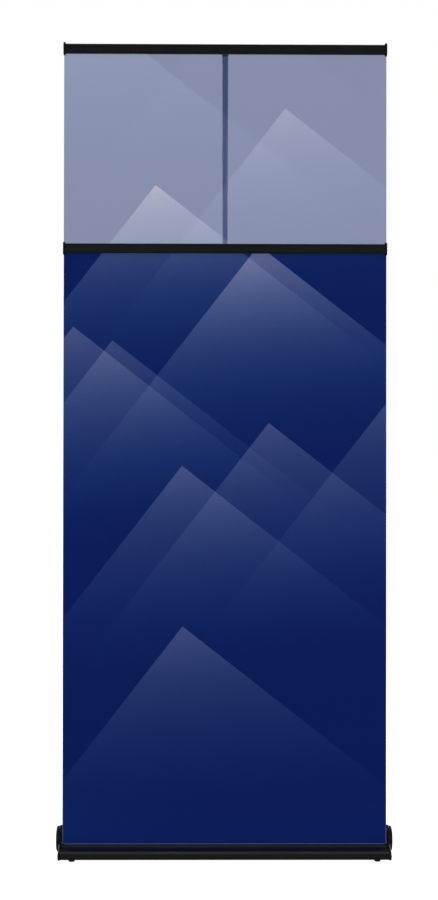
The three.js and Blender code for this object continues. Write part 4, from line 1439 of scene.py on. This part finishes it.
@dataclass
class Sheets:
    """The opaque lower banner and the see-through header film."""

    thickness: float = 0.5 * MM
    banner_top: float = MID_UP - 4 * MM
    header_foot: float = MID_UP + 4 * MM
    header_top: float = TOP_UP + 6.5 * MM
    ripple: float = 0.5 * MM

    def sheet(self, low: float, high: float, columns: int, rows: int) -> Shape:
        """A taut sheet with faint tension ripples, and its map.

        Args:
            low: How far up the leaning line its foot is.
            high: How far up its head is.
            columns: How many faces go across.
            rows: How many faces go up.

        Returns:
            The sheet as a closed thin shape, whose back faces have the second material.
        """
        shape = Shape()
        bm = shape.bm
        bm.loops.layers.uv.new("sheet")
        bmesh.ops.create_grid(bm, x_segments=columns, y_segments=rows, size=1, calc_uvs=True)
        length = high - low
        for vertex in bm.verts:
            share = (vertex.co.y + 1) / 2
            across, up = vertex.co.x * SHEET_END, low + share * length
            held = math.sin(math.pi * share)
            wave = math.sin(across * 21 + 1.1 * math.sin(share * 5)) * math.cos(share * 2.2 + across)
            vertex.co = (across, self.ripple * held * wave, up)
        bmesh.ops.recalc_face_normals(bm, faces=bm.faces[:])
        bmesh.ops.solidify(bm, geom=bm.faces[:], thickness=self.thickness)
        bmesh.ops.recalc_face_normals(bm, faces=bm.faces[:])
        middle = sum(v.co.y for v in bm.verts) / len(bm.verts)
        bmesh.ops.translate(bm, verts=bm.verts[:], vec=(0, -middle, 0))
        bm.normal_update()
        for face in bm.faces:
            face.material_index = 1 if face.normal.y > 0.5 else 0
        return shape.placed(LEANING)

    def build(self) -> None:
        """Makes both sheets."""
        banner = self.sheet(0, self.banner_top, 120, 96)
        print_finish = Printed(
            "banner print", "navy_print", (0.01, 0.02, 0.1), 0.6, low=0, length=self.banner_top, leader_and_slot_shade=1.5 * MM
        )
        made = lay_down("lower_banner", banner, [print_finish, SHEET_GREY], Body.BASE, ["banner"], 60)
        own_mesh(made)
        length = self.header_top - self.header_foot
        film = self.sheet(self.header_foot, self.header_top, 120, 40)
        film_finish = Film(
            "header film", "header_film", (0.2, 0.25, 0.45), 0.3, low=self.header_foot, length=length
        )
        made = lay_down("header_film", film, [film_finish, film_finish], Body.HEAD, ["header_panel"], 60)


@dataclass
class Pole:
    """The telescopic pole behind the banner, from its socket in the cassette to the bracket on the top rail."""

    radius: float = 9.5
    bore: float = 8.3
    upper_radius: float = 8.0
    upper_bore: float = 6.9
    joint: float = 770.0
    lock: float = 1500.0
    overlap: float = 105.0  # of the upper tube inside the middle one
    grips: int = 12  # flutes round the nut
    facets: int = 64

    def turned(self, profile: Sequence[Point], closed: bool = True) -> Shape:
        """A profile of radius and height in millimetres, turned round the pole's axis."""
        shape = Shape.turned([(r * MM, z * MM) for r, z in profile], self.facets, closed)
        return shape.moved(0, POLE_Y, 0)

    def tube(self, outer: float, inner: float, low: float, high: float) -> Shape:
        """A tube in millimetres, with its cut ends broken.

        Args:
            outer: The outer radius.
            inner: The bore's radius.
            low: The lower end.
            high: The upper end.

        Returns:
            The tube, in place.
        """
        soft = 0.25
        profile = [
            (inner + soft, low), (outer - soft, low), (outer, low + soft), (outer, high - soft),
            (outer - soft, high), (inner + soft, high), (inner, high - soft), (inner, low + soft),
        ]
        return self.turned(profile)

    def top_of(self, node: str) -> float:
        """The height of a node's top in millimetres."""
        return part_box(node)[1].z / MM

    def nut(self) -> Shape:
        """The twist nut, with a soft rim and grip flutes round it.

        Returns:
            The nut, in place.
        """
        low, step, high = (self.lock + rise for rise in (2.3, 14.3, 30.3))
        profile = [
            (12.1, low), (14.5, low), (15, low + 0.5), (15, high - 8.5), (14.6, high - 7.6),
            (11.2, high - 0.6), (10.4, high), (8.6, high), (8.6, step), (12.1, step),
        ]
        body = self.turned(profile)
        flutes, reach = [], 15.8 * MM
        for i in range(self.grips):
            angle = math.tau * i / self.grips
            at = (reach * math.cos(angle), POLE_Y + reach * math.sin(angle), 0)
            cutter = Shape.rod(1.7 * MM, (low - 2) * MM, (high - 6.5) * MM, 20)
            flutes.append(cutter.moved(*at))
        return body.carved(*flutes)

    def bracket(self) -> Shape:
        """The bracket in the top rail's T-slot, with an arm back to an eye over the pole's pin.

        Returns:
            The bracket, in place.
        """
        eye_at = POLE_REACH
        nut = Shape.block((-20 * MM, 3.25 * MM, -7 * MM), (20 * MM, 6.5 * MM, 7 * MM))
        neck = Shape.block((-12 * MM, 6 * MM, -2.7 * MM), (12 * MM, 9.5 * MM, 2.7 * MM))
        plate = Shape.block((-16 * MM, 8.8 * MM, -9 * MM), (16 * MM, 11.5 * MM, 9 * MM)).softened(MM, 3)
        arm = Shape.block((-6 * MM, 10.5 * MM, -4 * MM), (6 * MM, eye_at, 4 * MM)).softened(0.8 * MM, 3)
        at = Matrix.Translation((0, eye_at, 0))
        eye = Shape.rod(9 * MM, -4 * MM, 4 * MM, 48).softened(0.8 * MM, 3).placed(at)
        bore = Shape.rod(4.5 * MM, -6 * MM, 6 * MM, 40).placed(at)
        place = LEANING @ Matrix.Translation((0, 0, TOP_UP))
        return nut.joined(neck, plate, arm, eye).carved(bore).placed(place)

    def build(self) -> None:
        """Makes the pole's pieces."""
        r, bore = self.radius, self.bore
        socket = [
            (0, 8.3), (14, 8.3), (14, 79), (15.2, 79), (15.5, 79.4), (15.5, 80.6), (14.4, 82), (10.4, 82),
            (9.8, 81.2), (9.8, 11.3), (0, 11.3),
        ]
        lay_down("socket_moulding", self.turned(socket, False), [BLACK_PLASTIC], Body.BASE, ["pole_socket"])
        fit = bore - 0.3
        plug = [(0, 11.6), (9.1, 11.6), (r, 12), (r, 15.6), (fit, 15.6), (fit, 29), (7.4, 29.6), (0, 29.6)]
        lay_down("pole_foot_bung", self.turned(plug, False), [BLACK_RUBBER], Body.BASE, ["pole_foot_plug"])
        silver = [SILVER_ANODISED]
        lower = self.tube(r, bore, 15.9, self.joint - 1.5)
        lay_down("lower_tube", lower, silver, Body.BASE, ["pole_lower_tube"])
        middle = self.tube(r, bore, self.joint + 1.5, self.lock)
        lay_down("middle_tube", middle, silver, Body.BASE, ["pole_middle_tube"])
        j, inside = self.joint, bore - 0.3
        ferrule = [
            (0, j - 45), (inside - 0.8, j - 45), (inside, j - 43), (inside, j - 1.2), (r - 0.3, j - 1.2),
            (r, j - 0.9), (r, j + 0.9), (r - 0.3, j + 1.2), (inside, j + 1.2), (inside, j + 43),
            (inside - 0.8, j + 45), (0, j + 45),
        ]
        lay_down("joint_ferrule", self.turned(ferrule, False), [ZINC], Body.BASE, ["pole_ferrule"])
        top = self.top_of("pole_upper_tube")
        upper = self.tube(self.upper_radius, self.upper_bore, self.lock - self.overlap, top)
        lay_down("upper_tube", upper, silver, Body.HEAD, ["pole_upper_tube"])
        self.build_ends(top)

    def build_ends(self, top: float) -> None:
        """Makes the pole's plug, head, lock and bracket.

        Args:
            top: The height of the upper tube's top, in millimetres.
        """
        foot = self.lock - self.overlap
        slide = [
            (0, foot - 2), (6, foot - 2), (6, foot - 16), (8, foot - 16), (8, foot - 0.3), (6.6, foot - 0.3),
            (6.6, foot + 19), (6, foot + 20), (0, foot + 20),
        ]
        lay_down("slide_bush", self.turned(slide, False), [PALE_NYLON], Body.HEAD, ["pole_slide_plug"])
        tip = self.top_of("pole_head")
        seat = tip - 12
        head = [
            (0, top - 22), (6.6, top - 22), (6.6, top + 0.3), (8, top + 0.3), (9, seat - 1),
            (8.6, seat - 0.3), (8, seat), (4, seat), (4, tip - 2), (3.7, tip - 1), (2.8, tip), (0, tip),
        ]
        lay_down("pole_head_moulding", self.turned(head, False), [BLACK_PLASTIC], Body.HEAD, ["pole_head"])
        lock = self.lock
        collar = [
            (9.8, lock - 28), (11.6, lock - 28), (12, lock - 27.6), (14, lock - 22.4), (14, lock - 12),
            (13.6, lock - 11.6), (13.6, lock - 11), (14, lock - 10.6), (14, lock + 1.6), (13.6, lock + 2),
            (11.5, lock + 2), (11.5, lock + 14), (8.6, lock + 14), (8.6, lock + 0.3), (9.8, lock + 0.3),
        ]
        lay_down("lock_collar_moulding", self.turned(collar), [BLACK_PLASTIC], Body.BASE, ["lock_collar"])
        lay_down("lock_nut_moulding", self.nut(), [BLACK_PLASTIC], Body.NUT, ["lock_nut"])
        lay_down("rail_bracket_plate", self.bracket(), [ZINC], Body.HEAD, ["rail_bracket"])

# ---- Studio ----------------------------------------------------------------------------------------------
@dataclass
class Studio:
    """A pale floor, soft light and the camera."""

    distance: float = 5.5
    height: float = 1.0707
    sideways: float = -0.083
    lens: float = 83.85
    roll: float = -0.09  # degrees
    yaw: float = -0.7  # degrees
    floor_size: float = 60.0
    floor_glow: float = 0.95

    def build(self) -> None:
        """Makes the floor, the lights, the world and the camera."""
        self.floor()
        self.world()
        self.light("key left", (-2.9, -3.7, 0.95), (1.6, 3.4), 93)
        self.light("key right", (2.9, -3.7, 0.95), (1.6, 3.4), 93)
        self.light("overhead", (0, -0.6, 4.6), (2.4, 2.0), 50)
        self.light("rear left", (-3.2, 3.4, 1.3), (1.4, 2.4), 55)
        self.light("rear right", (3.2, 3.4, 1.3), (1.4, 2.4), 55)
        self.camera()
        bpy.context.scene.view_settings.view_transform = "Standard"

    def floor(self) -> None:
        """A plain pale floor, kept near white by a little light of its own."""
        shape = Shape()
        bmesh.ops.create_grid(shape.bm, x_segments=1, y_segments=1, size=self.floor_size / 2)
        shape.moved(0, 0, -0.5 * MM)
        made = linked("floor", shape.mesh("floor"))
        pale = bpy.data.materials.new("pale floor")
        pale.use_nodes = True
        graph = Graph(pale.node_tree)
        seen = graph.add("ShaderNodeLightPath").outputs["Is Camera Ray"]
        sockets = {
            "Base Color": (0.6, 0.6, 0.6, 1),
            "Roughness": 0.9,
            "Specular IOR Level": 0.0,
            "Emission Color": (1, 1, 1, 1),
            "Emission Strength": graph.math("MULTIPLY", seen, self.floor_glow),
        }
        graph.fill(pale.node_tree.nodes["Principled BSDF"], sockets)
        made.data.materials.append(pale)

    def world(self) -> None:
        """A white backdrop that lights the stand less than it shows."""
        world = bpy.data.worlds.new("studio")
        world.use_nodes = True
        graph = Graph(world.node_tree)
        world.node_tree.nodes.clear()
        felt, seen = (graph.add("ShaderNodeBackground", {0: (1, 1, 1, 1), 1: power}) for power in (0.3, 1.0))
        camera_ray = graph.add("ShaderNodeLightPath").outputs["Is Camera Ray"]
        both = graph.add("ShaderNodeMixShader", {0: camera_ray, 1: felt.outputs[0], 2: seen.outputs[0]})
        graph.add("ShaderNodeOutputWorld", {0: both.outputs[0]})
        bpy.context.scene.world = world

    def light(self, name: str, place: Sequence[float], size: Point, power: float) -> None:
        """A soft rectangular light that faces the stand.

        Args:
            name: The light's name.
            place: Where it stands.
            size: Its width and height in metres.
            power: Its power in watts.
        """
        data = bpy.data.lights.new(name, "AREA")
        data.shape, data.size, data.size_y, data.energy = "RECTANGLE", *size, power
        made = linked(name, data)
        made.location = place
        aim = Vector((0, 0, 1.0)) - Vector(place)
        made.rotation_euler = aim.to_track_quat("-Z", "Y").to_euler()

    def camera(self) -> None:
        """The camera, level and square to the front."""
        data = bpy.data.cameras.new("camera")
        data.lens = self.lens
        made = linked("camera", data)
        made.location = (self.sideways, BANNER_Y - self.distance, self.height)
        made.rotation_euler = (math.radians(90), math.radians(self.roll), math.radians(self.yaw))
        bpy.context.scene.camera = made


def main() -> None:
    """Builds the stand and its studio."""
    logging.basicConfig(level=logging.INFO, format="%(name)s: %(message)s")
    Studio().build()
    for assembly in (Cassette(), SpringRoller(), Rails(), Sheets(), Pole()):
        log.info("building %s", type(assembly).__name__)
        assembly.build()


if __name__ == "__main__":
    main()
